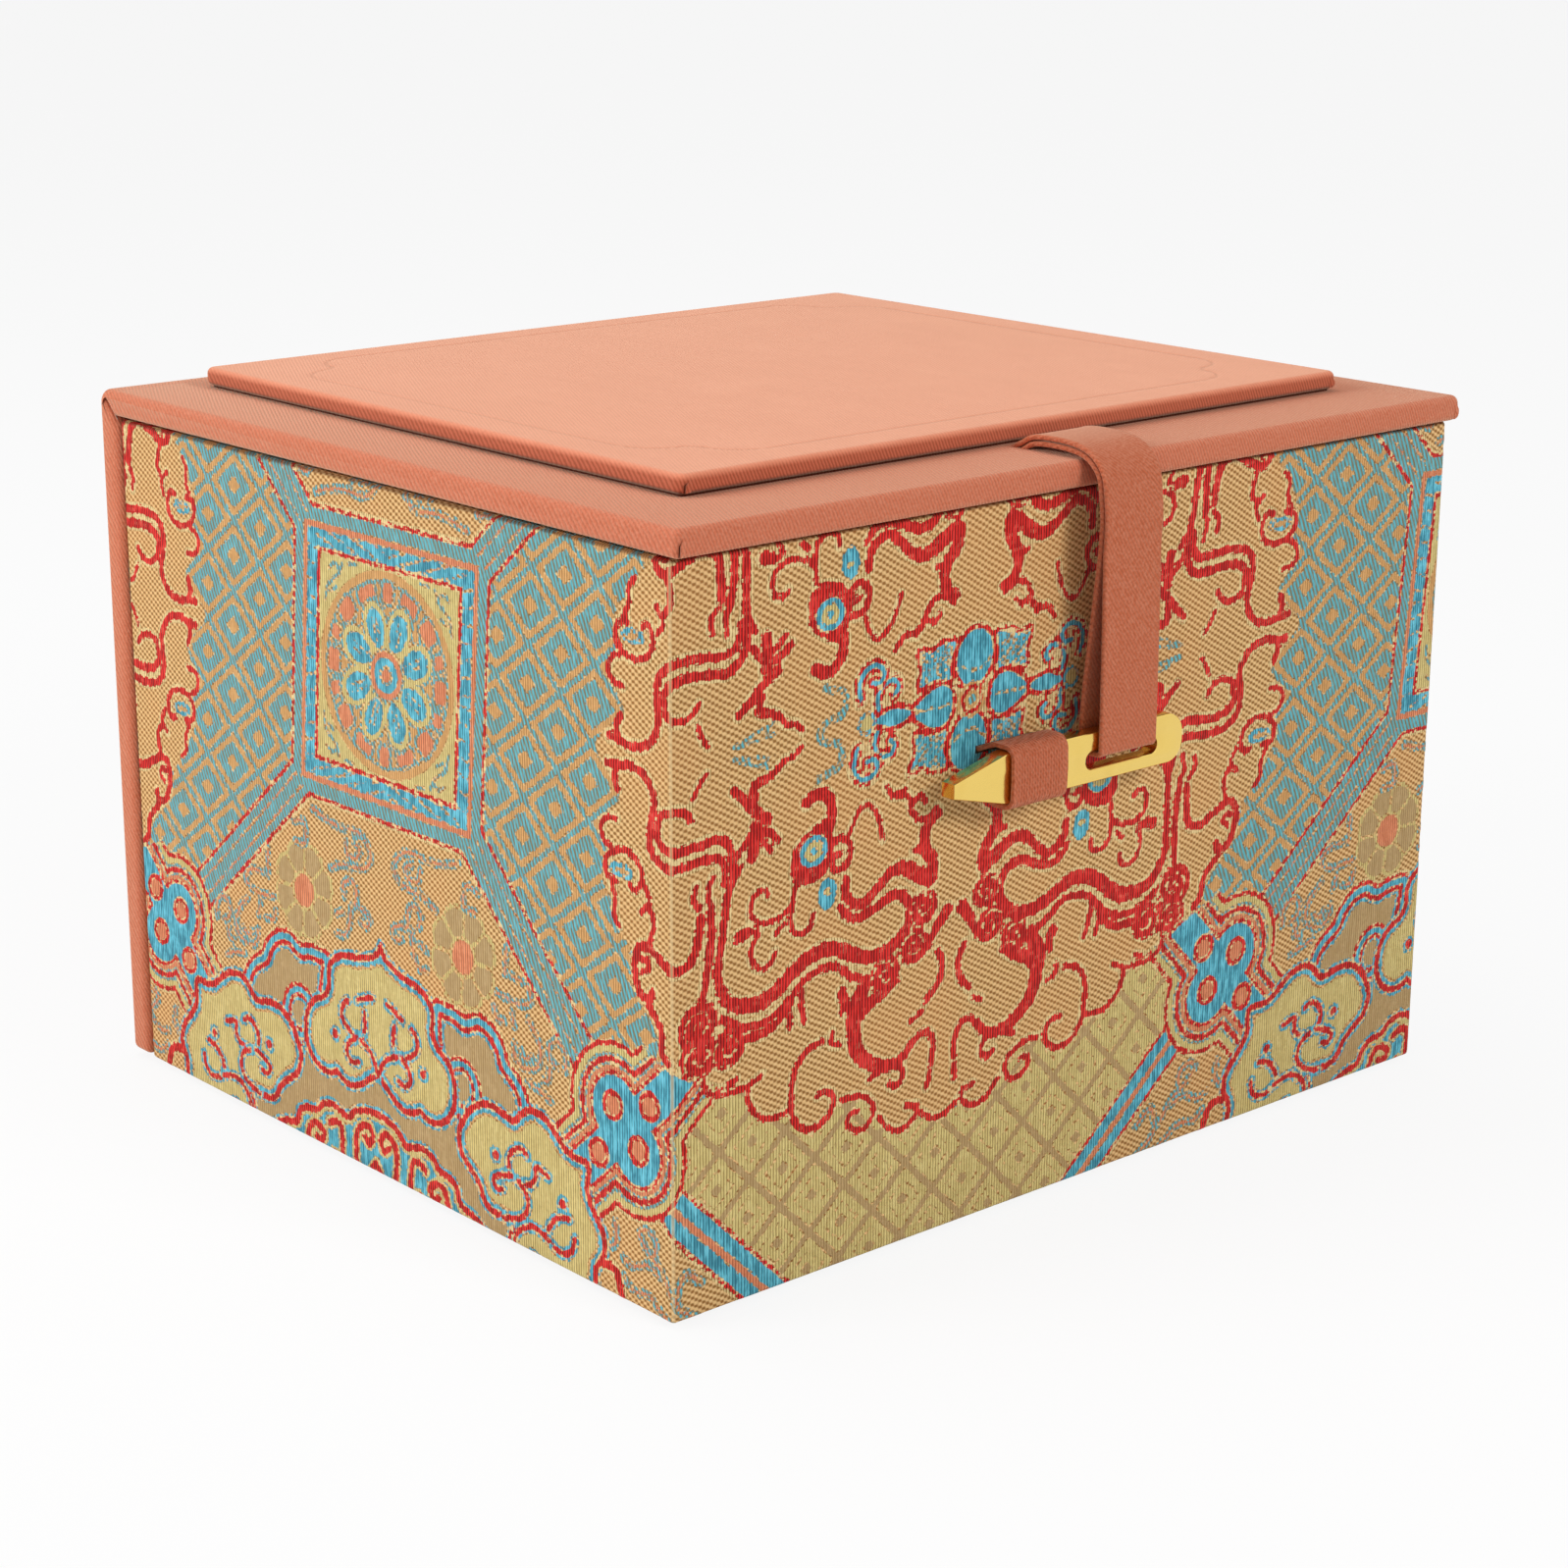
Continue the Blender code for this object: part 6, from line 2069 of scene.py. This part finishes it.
# %% Floor
FLOOR_REACH = 6.0
FLOOR_GLOW = 0.88
FLOOR_WHITE = (0.8, 0.8, 0.8, 1.0)
WHITE = (1.0, 1.0, 1.0, 1.0)
floor_mesh = bpy.data.meshes.new("floor")
floor_corners = [(FLOOR_REACH * x, FLOOR_REACH * y, 0) for x, y in ((-1, -1), (1, -1), (1, 1), (-1, 1))]
floor_mesh.from_pydata(floor_corners, [], [(0, 1, 2, 3)])
floor_white = Finish("floor_white", Base_Color=FLOOR_WHITE, Roughness=0.9)
rays = floor_white.node("ShaderNodeLightPath")
glow = floor_white.node("ShaderNodeEmission", {}, {"Color": WHITE, "Strength": 1.0})
seen = rays.out("Is Camera Ray").most(rays.out("Is Glossy Ray"))
surface_and_glow = floor_white.node("ShaderNodeMixShader", {}, {0: seen * FLOOR_GLOW, 2: glow})
feed(floor_white.tree, surface_and_glow.made, {1: floor_white.shader.outputs[0]})
feed(floor_white.tree, floor_white.tree.nodes["Material Output"], {"Surface": surface_and_glow})
floor = finished("floor", floor_mesh, floor_white)
floor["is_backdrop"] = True

# %% [markdown]
# Light is soft and comes from all round, as in a light tent: a pale world, a large lamp above
# and a little behind, the strongest at the left, and a smaller one in front and above, which
# draws the strap's shadow. A colour then renders about as it is written.

# %% World
TENT_LEVEL = 0.34
world = bpy.data.worlds.new("light_tent")
bpy.context.scene.world = world
world.use_nodes = True
tent = world.node_tree
ray = add_node(tent, "ShaderNodeLightPath").outputs
seen_as_white = {0: ray["Is Camera Ray"], 1: ray["Is Glossy Ray"]}
either = add_node(tent, "ShaderNodeMath", {"operation": "MAXIMUM"}, seen_as_white)
levels = {"Value": either.outputs[0], "To Min": TENT_LEVEL, "To Max": 1.0}
strength = add_node(tent, "ShaderNodeMapRange", {}, levels).outputs[0]
feed(tent, tent.nodes["Background"], {"Color": WHITE, "Strength": strength})
print("light of the tent:", TENT_LEVEL)

# %% [markdown]
# Each lamp is a square that points at the middle of the box. A larger square gives softer
# shadows. Each has its place, the length of its side in metres and its power in watts.

# %% Lamps
BOX_MIDDLE = (0.0, 0.0, 0.06)
LAMPS = {
    "top_lamp": ((-0.15, 0.25, 0.95), 0.7, 3.5),
    "left_lamp": ((-0.95, 0.35, 0.42), 0.5, 6.2),
    "front_lamp": ((0.12, -0.92, 0.60), 0.30, 4.7),
}
for lamp_name, (place, size, power) in LAMPS.items():
    light = bpy.data.lights.new(lamp_name, "AREA")
    light.size = size
    light.energy = power
    lamp = in_scene(lamp_name, light)
    lamp.location = place
    lamp.rotation_mode = "QUATERNION"
    lamp.rotation_quaternion = (Vector(place) - Vector(BOX_MIDDLE)).to_track_quat("Z", "Y")
print("lamps, W:", {lamp_name: power for lamp_name, (_, _, power) in LAMPS.items()})

# %% [markdown]
# The camera stands where the photo was taken. Its place, turn and focal length were solved
# from the box's own edges, measured in the photo and set against their real sizes.

# %% Camera
CAMERA_PLACE = (-0.32473, -0.36723, 0.18773)
CAMERA_TURN = math.radians(-41.482)
CAMERA_RISE = math.radians(16.223)
CAMERA_ROLL = math.radians(0.262)
FOCAL_LENGTH = 76.60

camera_data = bpy.data.cameras.new("camera")
camera_data.lens = FOCAL_LENGTH
camera = in_scene("camera", camera_data)
rolled = Matrix.Rotation(CAMERA_ROLL, 4, "Z")
raised = Matrix.Rotation(math.radians(90) - CAMERA_RISE, 4, "X")
turned = Matrix.Rotation(CAMERA_TURN, 4, "Z")
camera.matrix_world = Matrix.Translation(CAMERA_PLACE) @ turned @ raised @ rolled
bpy.context.scene.camera = camera
bpy.context.scene.view_settings.view_transform = "Standard"
print("camera from the middle of the box, mm:", round((camera.location - Vector(BOX_MIDDLE)).length / MM))

# %% [markdown]
# Last, the size of the dressed box is printed.

# %% Sizes and finish
low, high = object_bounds()
print("visual model, mm:", [round(1000 * size, 1) for size in high - low])
